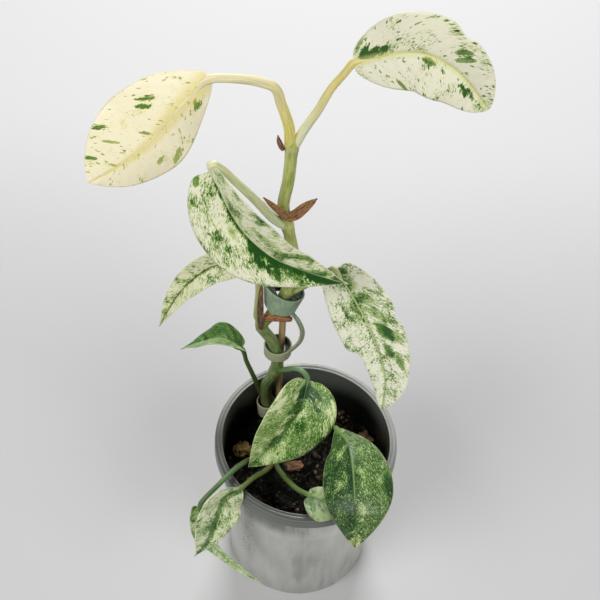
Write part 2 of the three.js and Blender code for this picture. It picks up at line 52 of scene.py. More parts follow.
# Shapes are worked out in millimetres and written in metres
MM = 0.001
UP = Vector((0, 0, 1))
TURN = 2 * math.pi
# Steps of a route between two of its points
ROUTE_SAMPLES = 32
# How far towards the tip a side vein runs for each millimetre away from the midrib, and how it curves
VEIN_SLOPE, VEIN_CURVE = 0.62, 0.012


def mix(first, second, share):
    return first + (second - first) * share


def ease(low, high, value):
    """0 below low, 1 above high, and a smooth rise between them."""
    share = min(max((value - low) / (high - low), 0), 1)
    return share * share * (3 - 2 * share)


def rough_noise(place, size, seed=0.0):
    """Noise from -1 to 1 whose bumps are about that size."""
    return noise.noise(Vector(place) / size + Vector((seed, seed * 1.7, -seed)))


def paint(code):
    """A colour as hexadecimal digits, made linear for a shader."""
    parts = [((code >> shift) & 255) / 255 for shift in (16, 8, 0)]
    return (*[p / 12.92 if p <= 0.04045 else ((p + 0.055) / 1.055) ** 2.4 for p in parts], 1)


def shaded(tint, factor=1.0):
    """A colour of the looks for a shader, made darker or lighter by a factor."""
    return (*[min(c * factor, 1) for c in tint], 1)


# ---------------------------------------------------------------- sizes and colours that a user may change

def length(name, text, value):
    return FloatProperty(name=name, description=text, default=value, min=0, unit="LENGTH", precision=4)


def colour(name, text, code):
    return FloatVectorProperty(
        name=name, description=text, default=paint(code)[:3], min=0, max=1, size=3, subtype="COLOR")


class PotLook(bpy.types.PropertyGroup):
    height: length("Height", "Height of the pot over its flat base", 0.135)
    rim_radius: length("Rim radius", "Outer radius of the folded rim", 0.0595)
    base_radius: length("Base radius", "Outer radius of the base", 0.051)
    wall: length("Wall", "Thickness of the pot's wall", 0.0012)
    lip: length("Lip", "Width of the folded rim", 0.0052)
    skirt: length("Skirt", "Depth of the skirt that hangs from the rim", 0.009)
    drain_radius: length("Drain radius", "Radius of a drainage hole", 0.004)
    drain_circle: length("Drain circle", "Radius of the circle of drainage holes", 0.037)
    sides: IntProperty(name="Sides", description="Steps round the pot", default=144, min=24, max=256)
    plastic: colour("Plastic", "Milky grey of the pot", 0xcdcec8)
    shade: colour("Damp shade", "Darker grey where damp soil lies behind the wall", 0xadafa8)
    rim: colour("Rim", "Smoky grey of the rim and the inner wall", 0x575b54)
    dirt: colour("Dirt", "Dried soil on the plastic", 0x3f372b)


class SoilLook(bpy.types.PropertyGroup):
    level: length("Level", "Height of the soil over the pot's base", 0.1)
    crumbs: IntProperty(name="Crumbs", description="Loose crumbs on the soil", default=420, min=0, max=900)
    fibres: IntProperty(name="Fibres", description="Loose fibres on the soil", default=240, min=0, max=400)
    peat: colour("Peat", "Dark peat", 0x0c0b07)
    crumb: colour("Crumb", "Lighter crumbs and bits of wood", 0x4a3a2a)
    moss: colour("Moss", "Strands of moss", 0x474a20)
    bark: colour("Bark", "Bark chips", 0xa67c5c)
    coir: colour("Coir", "Shaggy lump of coir", 0xc9ad6c)


class PlantLook(bpy.types.PropertyGroup):
    blade: length("Blade thickness", "Thickness of a leaf blade at its midrib", 0.0008)
    margin: length("Margin thickness", "Thickness of a leaf blade at its margin", 0.0004)
    groove: length("Groove", "Depth of the groove along a midrib", 0.00035)
    vein_gap: length("Vein gap", "Distance between two side veins", 0.0052)
    stem: colour("Stem", "Olive green of the main stem", 0xa5ae56)
    stem_pale: colour("Pale stem", "Pale yellow-green of the stem's joints and stripes", 0xc9ce88)
    shoot: colour("Shoot", "Brownish green of the low shoot", 0x6d7d42)


class TieLook(bpy.types.PropertyGroup):
    thickness: length("Thickness", "Thickness of the tape", 0.0014)
    outside: colour("Outside", "Smooth sage green outside", 0x82997c)
    inside: colour("Inside", "Dark woolly inside", 0x33422f)
    low: colour("Low end", "Khaki felt of the run and of the lower loop", 0xadb088)
    foot: colour("Foot tape", "Khaki of the tape at the soil", 0xc9caa4)
    wood: colour("Stake", "Pale wood of the stake", 0xc7a67d)
    stake_radius: length("Stake radius", "Radius of the stake", 0.0022)


class StageLook(bpy.types.PropertyGroup):
    floor: colour("Floor", "Pale paper floor", 0xd9d9d9)
    floor_size: length("Floor size", "Side of the floor", 6.0)
    back: FloatProperty(name="Back light", description="Watts of the soft light behind the plant", default=45, min=0)
    front_left: FloatProperty(name="Left light", description="Watts of the front left light", default=23, min=0)
    front_right: FloatProperty(name="Right light", description="Watts of the front right light", default=18, min=0)
    sky: FloatProperty(name="Sky", description="Strength of the even light from all round", default=0.03, min=0)
    lens: FloatProperty(name="Lens", description="Focal length in millimetres", default=54, min=1)


class EpipremnumLook(bpy.types.PropertyGroup):
    pot: PointerProperty(type=PotLook)
    soil: PointerProperty(type=SoilLook)
    plant: PointerProperty(type=PlantLook)
    tie: PointerProperty(type=TieLook)
    stage: PointerProperty(type=StageLook)


# ---------------------------------------------------------------- finishes

class Number:
    """A number that varies over a surface. Sums and products on it add Math nodes."""

    def __init__(self, finish, socket):
        self.finish = finish
        self.socket = socket

    def maths(self, operation, *values):
        made = self.finish.node("ShaderNodeMath", {"operation": operation}, dict(enumerate(values)))
        return Number(self.finish, made.outputs[0])

    def __add__(self, other):
        return self.maths("ADD", self, other)

    def __radd__(self, other):
        return self.maths("ADD", other, self)

    def __sub__(self, other):
        return self.maths("SUBTRACT", self, other)

    def __rsub__(self, other):
        return self.maths("SUBTRACT", other, self)

    def __mul__(self, other):
        return self.maths("MULTIPLY", self, other)

    def __rmul__(self, other):
        return self.maths("MULTIPLY", other, self)

    def __truediv__(self, other):
        return self.maths("DIVIDE", self, other)

    def __pow__(self, other):
        return self.maths("POWER", self, other)

    def __abs__(self):
        return self.maths("ABSOLUTE", self)

    def between(self, low, high):
        """0 at low and 1 at high, in a smooth rise; low may be above high."""
        made = self.finish.node(
            "ShaderNodeMapRange", {"interpolation_type": "SMOOTHSTEP"},
            {"Value": self, "From Min": low, "From Max": high})
        return Number(self.finish, made.outputs["Result"])


class Finish:
    """A material in the making. Its node method adds any node."""

    def __init__(self, name):
        self.material = bpy.data.materials.new(name)
        self.material.use_nodes = True
        self.tree = self.material.node_tree
        self.tree.nodes.clear()

    def node(self, kind, settings=None, values=None):
        made = self.tree.nodes.new(kind)
        for name, value in (settings or {}).items():
            if name == "stops":
                ramp = made.color_ramp
                while len(ramp.elements) < len(value):
                    ramp.elements.new(0.5)
                for element, (place, shade) in zip(ramp.elements, value):
                    element.position = place
                    element.color = shade
            else:
                setattr(made, name, value)
        for name, value in (values or {}).items():
            if isinstance(value, Number):
                self.tree.links.new(value.socket, made.inputs[name])
            else:
                made.inputs[name].default_value = value
        return made

    def attribute(self, name):
        made = self.node("ShaderNodeAttribute", {"attribute_type": "GEOMETRY", "attribute_name": name})
        return Number(self, made.outputs["Vector"])

    def object_place(self):
        return Number(self, self.node("ShaderNodeTexCoord").outputs["Object"])

    def split(self, vector):
        made = self.node("ShaderNodeSeparateXYZ", None, {0: vector})
        return [Number(self, out) for out in made.outputs]

    def join(self, x, y, z):
        made = self.node("ShaderNodeCombineXYZ", None, {"X": x, "Y": y, "Z": z})
        return Number(self, made.outputs[0])

    def noise(self, where, scale, detail, rough):
        values = {"Vector": where, "Scale": scale, "Detail": detail, "Roughness": rough}
        return Number(self, self.node("ShaderNodeTexNoise", None, values).outputs[0])

    def cells(self, where, scale):
        made = self.node("ShaderNodeTexVoronoi", {"feature": "F1"}, {"Vector": where, "Scale": scale})
        return Number(self, made.outputs["Distance"])

    def ramp(self, share, stops):
        made = self.node("ShaderNodeValToRGB", {"stops": stops}, {"Fac": share})
        return Number(self, made.outputs["Color"])

    def blend(self, share, first, second):
        """A mix of two colours. A Mix node for colours has them on its sockets 6 and 7."""
        made = self.node("ShaderNodeMix", {"data_type": "RGBA"}, {0: share, 6: first, 7: second})
        return Number(self, made.outputs[2])

    def bump(self, height, distance, strength):
        made = self.node("ShaderNodeBump", None, {"Height": height, "Distance": distance, "Strength": strength})
        return Number(self, made.outputs[0])

    def surface(self, shade, roughness, bump=None, constants=None):
        values = {"Base Color": shade, "Roughness": roughness, **(constants or {})}
        if bump is not None:
            values["Normal"] = bump
        shader = self.node("ShaderNodeBsdfPrincipled", None, values)
        out = self.node("ShaderNodeOutputMaterial")
        self.tree.links.new(shader.outputs[0], out.inputs["Surface"])
        return self.material


# ---------------------------------------------------------------- shapes

class Route:
    """A smooth line through a few points, walked by its share of length."""

    def __init__(self, points):
        places = [Vector(point) for point in points]
        row = [places[0] * 2 - places[1], *places, places[-1] * 2 - places[-2]]
        self.places = []
        self.ways = []
        for a, b, c, d in zip(row, row[1:], row[2:], row[3:]):
            before, here, after = ((q - p).length ** 0.5 for p, q in ((a, b), (b, c), (c, d)))
            leave = ((b - a) / before - (c - a) / (before + here)) * here + (c - b)
            arrive = (c - b) - ((d - b) / (here + after) - (d - c) / after) * here
            # a later span starts after the point that it shares with the one before
            for step in range(1 if self.places else 0, ROUTE_SAMPLES + 1):
                t = step / ROUTE_SAMPLES
                rise = 3 * t * t - 2 * t ** 3
                self.places.append(b * (1 - rise) + c * rise + leave * (t - 2 * t * t + t ** 3)
                                   + arrive * (t ** 3 - t * t))
                self.ways.append((c - b) * (6 * t - 6 * t * t) + leave * (1 - 4 * t + 3 * t * t)
                                 + arrive * (3 * t * t - 2 * t))
        self.walked = [0.0]
        for p, q in zip(self.places, self.places[1:]):
            self.walked.append(self.walked[-1] + (q - p).length)
        self.length = self.walked[-1]

    def at(self, share):
        """The place at that share of the length, and the way ahead there."""
        goal = min(max(share, 0), 1) * self.length
        step = min(max(bisect_left(self.walked, goal), 1), len(self.walked) - 1)
        start, stop = self.walked[step - 1], self.walked[step]
        part = (goal - start) / (stop - start)
        place = self.places[step - 1].lerp(self.places[step], part)
        return place, self.ways[step - 1].lerp(self.ways[step], part).normalized()


def new_mesh():
    """An empty bmesh with the layers that every piece has: its place on a straightened or flattened copy."""
    bm = bmesh.new()
    bm.verts.layers.float_vector.new("grain")
    bm.verts.layers.float.new("side")
    bm.loops.layers.uv.new("surface")
    return bm


def tube(bm, points, radius_at, sides, steps, facing=(0, -1, 0), shape=None):
    """A closed round stalk along a smooth route, extruded ring by ring; its vertices come back.

    radius_at gives the radius from share and place, and shape a factor on it from share, angle and place.
    """
    grain = bm.verts.layers.float_vector["grain"]
    surface = bm.loops.layers.uv["surface"]
    route = Route(points)
    place, ahead = route.at(0)
    turn = Matrix((Vector(facing).cross(ahead).normalized(), (0, 0, 0), ahead)).to_3x3()
    turn[1] = ahead.cross(turn[0]).normalized()
    turn = turn.transposed()
    ring = bmesh.ops.create_circle(bm, cap_ends=True, segments=sides, radius=1)["verts"]
    made = list(ring)
    old = Matrix.Identity(4)
    edges = list(dict.fromkeys(edge for vert in ring for edge in vert.link_edges))
    for step in range(steps + 1):
        share = step / steps
        place, way = route.at(share)
        turn = ahead.rotation_difference(way).to_matrix() @ turn
        ahead = way
        radius = radius_at(share, place)
        new = Matrix.Translation(place) @ turn.to_4x4() @ Matrix.Scale(radius, 4)
        if step:
            grown = bmesh.ops.extrude_edge_only(bm, edges=edges)["geom"]
            ring = [part for part in grown if isinstance(part, bmesh.types.BMVert)]
            edges = [part for part in grown if isinstance(part, bmesh.types.BMEdge)]
            walls = [part for part in grown if isinstance(part, bmesh.types.BMFace)]
            made += ring
        bmesh.ops.transform(bm, matrix=new @ old.inverted(), verts=ring)
        back = new.inverted()
        for vert in ring:
            local = back @ vert.co
            angle = math.atan2(local.y, local.x)
            grow = shape(share, angle, place) if shape else 1
            vert.co = new @ Vector((math.cos(angle) * grow, math.sin(angle) * grow, 0))
            vert[grain] = Vector((math.cos(angle), math.sin(angle), 0)) * radius + UP * (share * route.length)
        old = new
        if step:
            for part in walls:
                for loop in part.loops:
                    spot = loop.vert[grain]
                    loop[surface].uv = (math.atan2(spot.y, spot.x) / (TURN) + 0.5, spot.z / route.length)
    bmesh.ops.edgeloop_fill(bm, edges=edges)
    bmesh.ops.recalc_face_normals(bm, faces=faces_of(made))
    return made


def faces_of(verts):
    """The faces at some vertices, each once."""
    return list(dict.fromkeys(face for vert in verts for face in vert.link_faces))


def vein_place(along, reach):
    """Where the side vein through a spot leaves the midrib, for plain numbers and for Numbers."""
    return along - reach * VEIN_SLOPE - reach * reach * VEIN_CURVE


def blade_width(leaf, share):
    """How wide a half blade is, from 0 to 1, at a share of its length."""
    along = min((share + leaf["shoulder"]) / (1 + leaf["shoulder"]), 1 - 1e-9)
    taper = leaf["fullness"] * (1 - leaf["widest"]) / leaf["widest"]
    return (along / leaf["widest"]) ** leaf["fullness"] * ((1 - along) / (1 - leaf["widest"])) ** taper


def blade_place(leaf, route, share, across):
    """A point of a blade's middle surface, the way its upper face looks there, and its half width."""
    place, ahead = route.at(share)
    chord = (Vector(leaf["midrib"][-1]) - Vector(leaf["midrib"][0])).normalized()
    ahead = ahead.lerp(chord, leaf["straight"]).normalized()
    face = Vector(leaf["face"]).lerp(Vector(leaf["tip_face"]), share)
    up = (face - ahead * face.dot(ahead)).normalized()
    side = ahead.cross(up)
    on_right = across > 0
    out = abs(across)
    reach = leaf["right"] if on_right else leaf["left"]
    wide = blade_width(leaf, share)
    half = reach * wide
    if on_right and leaf["step"]:
        at, depth, run = leaf["step"]
        half *= 1 - depth * (0.5 + 0.5 * math.tanh((share - at) / run))
    for at, nick_side, depth, run in leaf["nicks"]:
        if (nick_side > 0) == on_right:
            half *= 1 - depth * math.exp(-((share - at) / run) ** 2)
    half = max(half, 0.4)
    start, stop = leaf["fold_right" if on_right else "fold_left"]
    fold = math.radians(mix(start, stop, share) - leaf["curl"] * out)
    phase = leaf["phase"] + (0.27 if on_right else 0)
    wave = leaf["wave"] * wide * math.sin(TURN * (leaf["waves"] * share + phase))
    place = place + side * math.copysign(half * out * math.cos(fold), across)
    place += up * (half * out * math.sin(fold) + wave * out * out)
    place -= ahead * leaf["lobe"] * reach * out * (1 - share) ** 3 * (1 - math.exp(-share / 0.018))
    return place, up, half


def doubled(bm, faces, verts):
    """Extrudes a sheet in place: each new vertex, the old one at the same spot and the sheet's normal there."""
    normals = {vert: vert.normal.copy() for vert in verts}
    spots = {tuple(round(c, 6) for c in vert.co): vert for vert in verts}
    grown = bmesh.ops.extrude_face_region(bm, geom=faces, use_keep_orig=True)["geom"]
    lower = [part for part in grown if isinstance(part, bmesh.types.BMVert)]
    pairs = [(below, spots[tuple(round(c, 6) for c in below.co)]) for below in lower]
    return [(below, above, normals[above]) for below, above in pairs]


def blade(bm, leaf, rows, columns, thick, margin, vein_gap, relief, groove=0.0):
    """A thin blade: a grid laid on the leaf's surface, then extruded to its thickness, thinner at its margin."""
    grain = bm.verts.layers.float_vector["grain"]
    under = bm.verts.layers.float["side"]
    surface = bm.loops.layers.uv["surface"]
    route = Route(leaf["midrib"])
    known = set(bm.faces)
    grid = bmesh.ops.create_grid(bm, x_segments=columns, y_segments=rows, size=1)["verts"]
    faces = [part for part in bm.faces if part not in known]
    spots = {}
    for vert in grid:
        even = min(max((vert.co.y + 1) / 2, 0), 1)
        share = min(mix(even, (1 - math.cos(math.pi * even)) / 2, 0.5), 1)
        # columns crowd towards the midrib, where the groove is
        across = math.copysign(abs(vert.co.x) ** 1.15, vert.co.x)
        place, up, half = blade_place(leaf, route, share, across)
        reach = half * abs(across)
        along = share * route.length
        vein = vein_place(along, reach) / vein_gap
        fade = ease(0.4, 2.5, reach) * ease(0, 3, half - reach)
        height = -groove * math.exp(-(reach / 0.8) ** 2)
        height -= relief * fade * (0.5 + 0.5 * math.cos(TURN * vein)) ** 4
        height += relief * 1.6 * rough_noise((along, across * half, 3), 14, leaf["phase"] * 9) * abs(across)
        vert.co = place + up * height
        spots[vert] = (share, across)
        vert[grain] = Vector((across * half, along, half - reach))
    for part in faces:
        for loop in part.loops:
            share, across = spots[loop.vert]
            loop[surface].uv = ((across + 1) / 2, share)
    bmesh.ops.recalc_face_normals(bm, faces=faces)
    bm.normal_update()
    middle = faces[len(faces) // 2]
    share = sum(spots[vert][0] for vert in middle.verts) / len(middle.verts)
    if middle.normal.dot(blade_place(leaf, route, share, 0.1)[1]) < 0:
        bmesh.ops.reverse_faces(bm, faces=faces)
        bm.normal_update()
    shell = list(grid)
    for below, above, normal in doubled(bm, faces, grid):
        below[under] = 1.0
        step = normal * (mix(thick, margin, abs(spots[above][1]) ** 2) / 2)
        below.co -= step
        above.co += step
        shell.append(below)
    bmesh.ops.recalc_face_normals(bm, faces=faces_of(shell))


def spun(outside, inside, steps):
    """A closed skin, spun round the pot's axis from the radii and heights of its outside and its inside."""
    bm = new_mesh()
    side = bm.verts.layers.float["side"]
    verts = [bm.verts.new((radius, 0, height)) for radius, height in outside + inside]
    for vert in verts[len(outside):]:
        vert[side] = 1.0
    edges = [bm.edges.new(pair) for pair in zip(verts, verts[1:])]
    bmesh.ops.spin(bm, geom=verts + edges, cent=(0, 0, 0), axis=UP, angle=TURN, steps=steps, use_merge=True)
    bmesh.ops.remove_doubles(bm, verts=bm.verts, dist=1e-4)
    bmesh.ops.recalc_face_normals(bm, faces=bm.faces)
    return bm


def written(bm, name, finishes):
    """Writes a bmesh as an object with its materials."""
    mesh = bpy.data.meshes.new(name)
    bm.to_mesh(mesh)
    bm.free()
    for finish in finishes:
        mesh.materials.append(finish)
    made = bpy.data.objects.new(name, mesh)
    bpy.context.scene.collection.objects.link(made)
    return made


def loose_bit(bm, finishes, name="bit"):
    """Writes a shape worked out in millimetres as a smooth object in metres, such as a bit for joined()."""
    bmesh.ops.scale(bm, vec=(MM, MM, MM), verts=bm.verts)
    bit = written(bm, name, finishes)
    bit.data.shade_smooth()
    return bit


def finish_piece(bm, name, nodes, finishes):
    """Writes a shape worked out in millimetres as the piece that stands for its CAD nodes."""
    piece = loose_bit(bm, finishes, name)
    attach(piece, "root")
    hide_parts(*nodes)
    return piece


def joined(piece, bits):
    """Makes loose bits a part of a piece."""
    with bpy.context.temp_override(active_object=piece, selected_editable_objects=[piece, *bits]):
        bpy.ops.object.join()


# ---------------------------------------------------------------- pot

def pot_plastic(look):
    milk = Finish("milky pot plastic")
    place = milk.object_place()
    x, y, z = milk.split(place)
    around = milk.join(x, y, z * 0.35)
    clouds = milk.noise(around, 42, 3, 0.6)
    streaks = milk.noise(milk.join(x, y, z * 0.12), 170, 2, 0.6)
    spots = milk.noise(place, 900, 2, 0.6)
    low = z.between(0.101, 0.094)
    damp_and_shade = (clouds * 0.75 + streaks * 0.2 - 0.02 + low * 0.15).between(0.25, 0.85)
    shade = milk.blend(damp_and_shade, shaded(look.plastic), shaded(look.shade))
    dirt = (spots * 0.6 + clouds * 0.4).between(0.61, 0.66) * 0.6
    shade = milk.blend(dirt, shade, shaded(look.dirt))
    smudge = milk.noise(milk.join(x, y, z * 0.2), 60, 2, 0.5).between(0.56, 0.72)
    shade = milk.blend(smudge * low * 0.35, shade, shaded(look.dirt))
    rings = milk.noise(milk.join(0, 0, z), 900, 2, 0.6)
    # front marks the side of the pot towards the front. The rim band's smoky grey is the rim's own colour, but it is
    # laid on more strongly at the front as painted shade. The painted shadow under the rim also keeps to that side.
    front = (y + x * 0.4).between(0.03, -0.05)
    top = (z + (clouds - 0.5) * 0.006).between(0.119, 0.1235) * (0.55 + front * 0.35)
    lip = milk.blend(rings.between(0.42, 0.6), shaded(look.rim, 0.4), shaded(look.rim, 1.5))
    shade = milk.blend(top, shade, lip)
    shadow = (z + (clouds - 0.5) * 0.02).between(0.094, 0.114) * z.between(0.124, 0.121)
    shadow = shadow * (abs(x + 0.024) - (streaks - 0.5) * 0.03).between(0.032, 0.012) * front
    shade = milk.blend(shadow * 0.75, shade, shaded(look.rim, 0.5))
    # The inner wall fades from the rim's smoky grey to near black down towards the soil: painted shade inside the pot.
    inside = milk.attribute("side")
    painted_shade_black = shaded(look.rim, 0.06)
    deep = milk.blend((z + (clouds - 0.5) * 0.012).between(0.131, 0.111), shaded(look.rim), painted_shade_black)
    shade = milk.blend(inside, shade, deep)
    rough = 0.34 + damp_and_shade * 0.12 + dirt * 0.3
    bump = milk.bump(streaks * 0.4 + spots * 0.25, 0.0002, 0.5)
    return milk.surface(shade, rough, bump, {"IOR": 1.5})


DRAIN_HOLES = 6
POT_FLOOR = 1.6
# What the soil keeps to the pot
SEAT_GAP = 0.3


def build_pot(look):
    height, rim, foot = look.height / MM, look.rim_radius / MM, look.base_radius / MM
    inner = rim - look.lip / MM
    wall = look.wall / MM
    skirt = height - look.skirt / MM
    outside = [
        (0, 0.6), (foot - 6, 0.6), (foot - 5.2, 0), (foot - 1.4, 0), (foot - 0.5, 0.4), (foot, 1.4),
        (mix(foot, inner + wall, 0.25), height * 0.25), (mix(foot, inner + wall, 0.5), height * 0.5),
        (mix(foot, inner + wall, 0.75), height * 0.75), (inner + wall, height - 1.6), (rim - 1.4, height - 1.6),
        (rim - 1.4, skirt + 0.2), (rim - 1.2, skirt), (rim - 0.4, skirt), (rim - 0.1, skirt + 0.3),
        (rim, skirt + 1), (rim - 0.25, height - 2.6), (rim - 0.5, height - 1.1), (rim - 0.8, height - 0.3),
        (rim - 1.3, height), (inner + 2.2, height), (inner + 1.9, height - 0.15), (inner + 1.75, height - 0.5),
        (inner + 1.35, height - 0.5), (inner + 1.2, height - 0.15), (inner + 0.9, height),
        (inner + 0.4, height), (inner + 0.1, height - 0.15),
    ]
    inside = [
        (inner, height - 0.5),
        (mix(foot - wall, inner, 0.66), height * 0.66), (mix(foot - wall, inner, 0.33), height * 0.33),
        (foot - wall, 2.6), (foot - wall - 0.3, 1.9), (foot - wall - 1, POT_FLOOR), (0, POT_FLOOR),
    ]
    bm = spun(outside, inside, look.sides)
    piece = finish_piece(bm, "pot_moulding", ["pot"], [pot_plastic(look)])
    cutter = bmesh.new()
    for hole in range(DRAIN_HOLES):
        angle = (hole + 0.5) * TURN / DRAIN_HOLES
        at = Vector((math.cos(angle), math.sin(angle), 0)) * look.drain_circle + UP * MM
        # turned a little, so that no facet meets an edge of the pot's floor end to end
        place = Matrix.Translation(at) @ Matrix.Rotation(0.1, 4, "Z")
        bmesh.ops.create_cone(cutter, cap_ends=True, segments=32, radius1=look.drain_radius,
                              radius2=look.drain_radius, depth=0.006, matrix=place)
    drill = written(cutter, "drill", [])
    drilled = piece.modifiers.new("drainage", "BOOLEAN")
    drilled.operation = "DIFFERENCE"
    drilled.solver = "EXACT"
    drilled.object = drill
    mesh = bpy.data.meshes.new_from_object(piece.evaluated_get(bpy.context.evaluated_depsgraph_get()))
    piece.modifiers.clear()
    piece.data = mesh
    bpy.data.objects.remove(drill)
    mesh.shade_smooth()
    mesh.set_sharp_from_angle(angle=math.radians(32))


# ---------------------------------------------------------------- soil and what lies on it

def soil_height(look, x, y):
    coarse = math.sin(x * 0.16 + 1.1) * math.cos(y * 0.14 - 0.4)
    fine = math.sin(x * 0.47 - y * 0.21) + math.cos(y * 0.53 + x * 0.31 + 0.8)
    return look.level / MM + 1.3 * coarse + 0.8 * fine


def soil_relief(x, y):
    """Fine lumps of the peat over its broad rise and fall."""
    near = rough_noise((x, y, 0), 3.2, 4)
    fine = rough_noise((x, y, 0), 1.3, 9)
    return 0.9 * near + 0.5 * fine


def keep_above(look, verts):
    """Lifts what would reach into the soil."""
    for vert in verts:
        vert.co.z = max(vert.co.z, soil_height(look, vert.co.x, vert.co.y) + 0.2)


def dome_spot(draw, lowest, sizes):
    """A random spot on the upper side of an ellipsoid."""
    angle = draw.uniform(0, TURN)
    rise = draw.uniform(lowest, 1)
    flat = math.sqrt(max(1 - rise * rise, 0))
    return Vector((sizes[0] * flat * math.cos(angle), sizes[1] * flat * math.sin(angle), sizes[2] * rise))


def peat(look):
    soil = Finish("damp peat")
    place = soil.object_place()
    lumps = soil.noise(place, 260, 4, 0.65)
    grains = soil.noise(place, 1100, 3, 0.7)
    broad = soil.noise(place, 60, 2, 0.5)
    tone = (lumps * 0.6 + grains * 0.5 + broad * 0.3 - 0.25).between(0.25, 0.75)
    dark = shaded(look.peat, 0.25)
    crumb = shaded(look.crumb)
    shade = soil.ramp(tone, [(0.0, dark), (0.55, shaded(look.peat)), (0.85, crumb), (1.0, crumb)])
    mossy = (broad * 0.6 + grains * 0.4).between(0.56, 0.66) * 0.5
    shade = soil.blend(mossy, shade, shaded(look.moss))
    bump = soil.bump(lumps * 0.6 + grains * 0.4, 0.0012, 0.9)
    return soil.surface(shade, 0.85 - tone * 0.1, bump, {"Specular IOR Level": 0.15})


def crumb_finish(name, first, second):
    crumb = Finish(name)
    place = crumb.object_place()
    tone = crumb.noise(place, 320, 3, 0.6).between(0.35, 0.65)
    shade = crumb.blend(tone, first, second)
    grains = crumb.noise(place, 1400, 2, 0.6)
    return crumb.surface(shade, 0.75 + grains * 0.15, crumb.bump(grains, 0.0004, 0.8))


def build_soil(look, pot):
    level = look.level / MM
    floor = POT_FLOOR + SEAT_GAP
    foot = (pot.base_radius - pot.wall) / MM - SEAT_GAP
    top = (pot.rim_radius - pot.lip) / MM
    wall = mix(foot + SEAT_GAP, top, (level - POT_FLOOR) / (pot.height / MM - POT_FLOOR)) - SEAT_GAP
    rings = 56
    profile = [(0, floor), (foot - 1, floor), (foot, floor + 1), (mix(foot, wall, 0.5), level / 2), (wall, level - 4)]
    profile += [(wall * (1 - ring / rings), level) for ring in range(rings + 1)]
    bm = spun(profile, [], 220)
    for vert in bm.verts:
        if vert.co.z > level - 1:
            x, y = vert.co.x, vert.co.y
            vert.co.z = soil_height(look, x, y) + soil_relief(x, y) * ease(0, 5, math.hypot(x, y))
    bed = finish_piece(bm, "soil_bed", ["soil"], [peat(look)])
    dark = crumb_finish("peat crumb", shaded(look.peat, 0.6), shaded(look.peat))
    wood = crumb_finish("wood crumb", shaded(look.crumb), shaded(look.bark))
    brown = crumb_finish("brown crumb", shaded(look.peat), shaded(look.crumb))
    moss = crumb_finish("moss strand", shaded(look.moss, 0.5), shaded(look.moss))
    draw = random.Random(41)

    def ground(x, y):
        return soil_height(look, x, y) + soil_relief(x, y)

    bits = []
    for _ in range(look.crumbs):
        angle = draw.uniform(0, TURN)
        distance = (wall - 2) * math.sqrt(draw.random())
        size = draw.choice((0.7, 0.9, 1.1, 1.5, 2.0)) * draw.uniform(0.8, 1.25)
        at = Vector((distance * math.cos(angle), distance * math.sin(angle), 0))
        at.z = ground(at.x, at.y) + 0.2 * size
        turn = Matrix.Rotation(draw.uniform(0, math.pi), 4, "Z") @ Matrix.Rotation(draw.uniform(-0.6, 0.6), 4, "X")
        shape = Matrix.Diagonal((draw.uniform(0.8, 1.9), draw.uniform(0.6, 1.1), draw.uniform(0.4, 0.8), 1))
        crumb = new_mesh()
        grown = bmesh.ops.create_icosphere(
            crumb, subdivisions=1, radius=size, matrix=Matrix.Translation(at) @ turn @ shape)["verts"]
        for vert in grown:
            vert.co += (vert.co - at) * draw.uniform(-0.25, 0.25)
        bits.append(loose_bit(crumb, [draw.choice((dark, dark, dark, dark, brown, brown, brown, wood))]))
    for _ in range(look.fibres):
        # most of the moss lies at the right and at the back
        angle = draw.choice((draw.uniform(0, TURN), draw.gauss(0.5, 0.45)))
        distance = (wall - 5) * math.sqrt(draw.random())
        middle = Vector((distance * math.cos(angle), distance * math.sin(angle), 0))
        way = draw.uniform(0, TURN)
        bend = draw.uniform(-0.7, 0.7)
        reach = draw.uniform(1.2, 3)
        points = []
        for step in (-1, 0, 1):
            spot = middle + Vector((math.cos(way + bend * step), math.sin(way + bend * step), 0)) * reach * step
            spot *= min(1, (wall - 1.5) / max(spot.length, 1))
            points.append((spot.x, spot.y, ground(spot.x, spot.y) + draw.uniform(0.2, 0.9)))
        strand = new_mesh()
        tube(strand, points, lambda share, place: 0.24 * (1 - abs(share - 0.5)), 4, 5, facing=(0.2, 0.3, 1))
        bits.append(loose_bit(strand, [draw.choice((brown, moss, moss))]))
    joined(bed, bits)


COIR_AT = (-42, 6)
COIR_LOBES, COIR_STRANDS = 26, 160


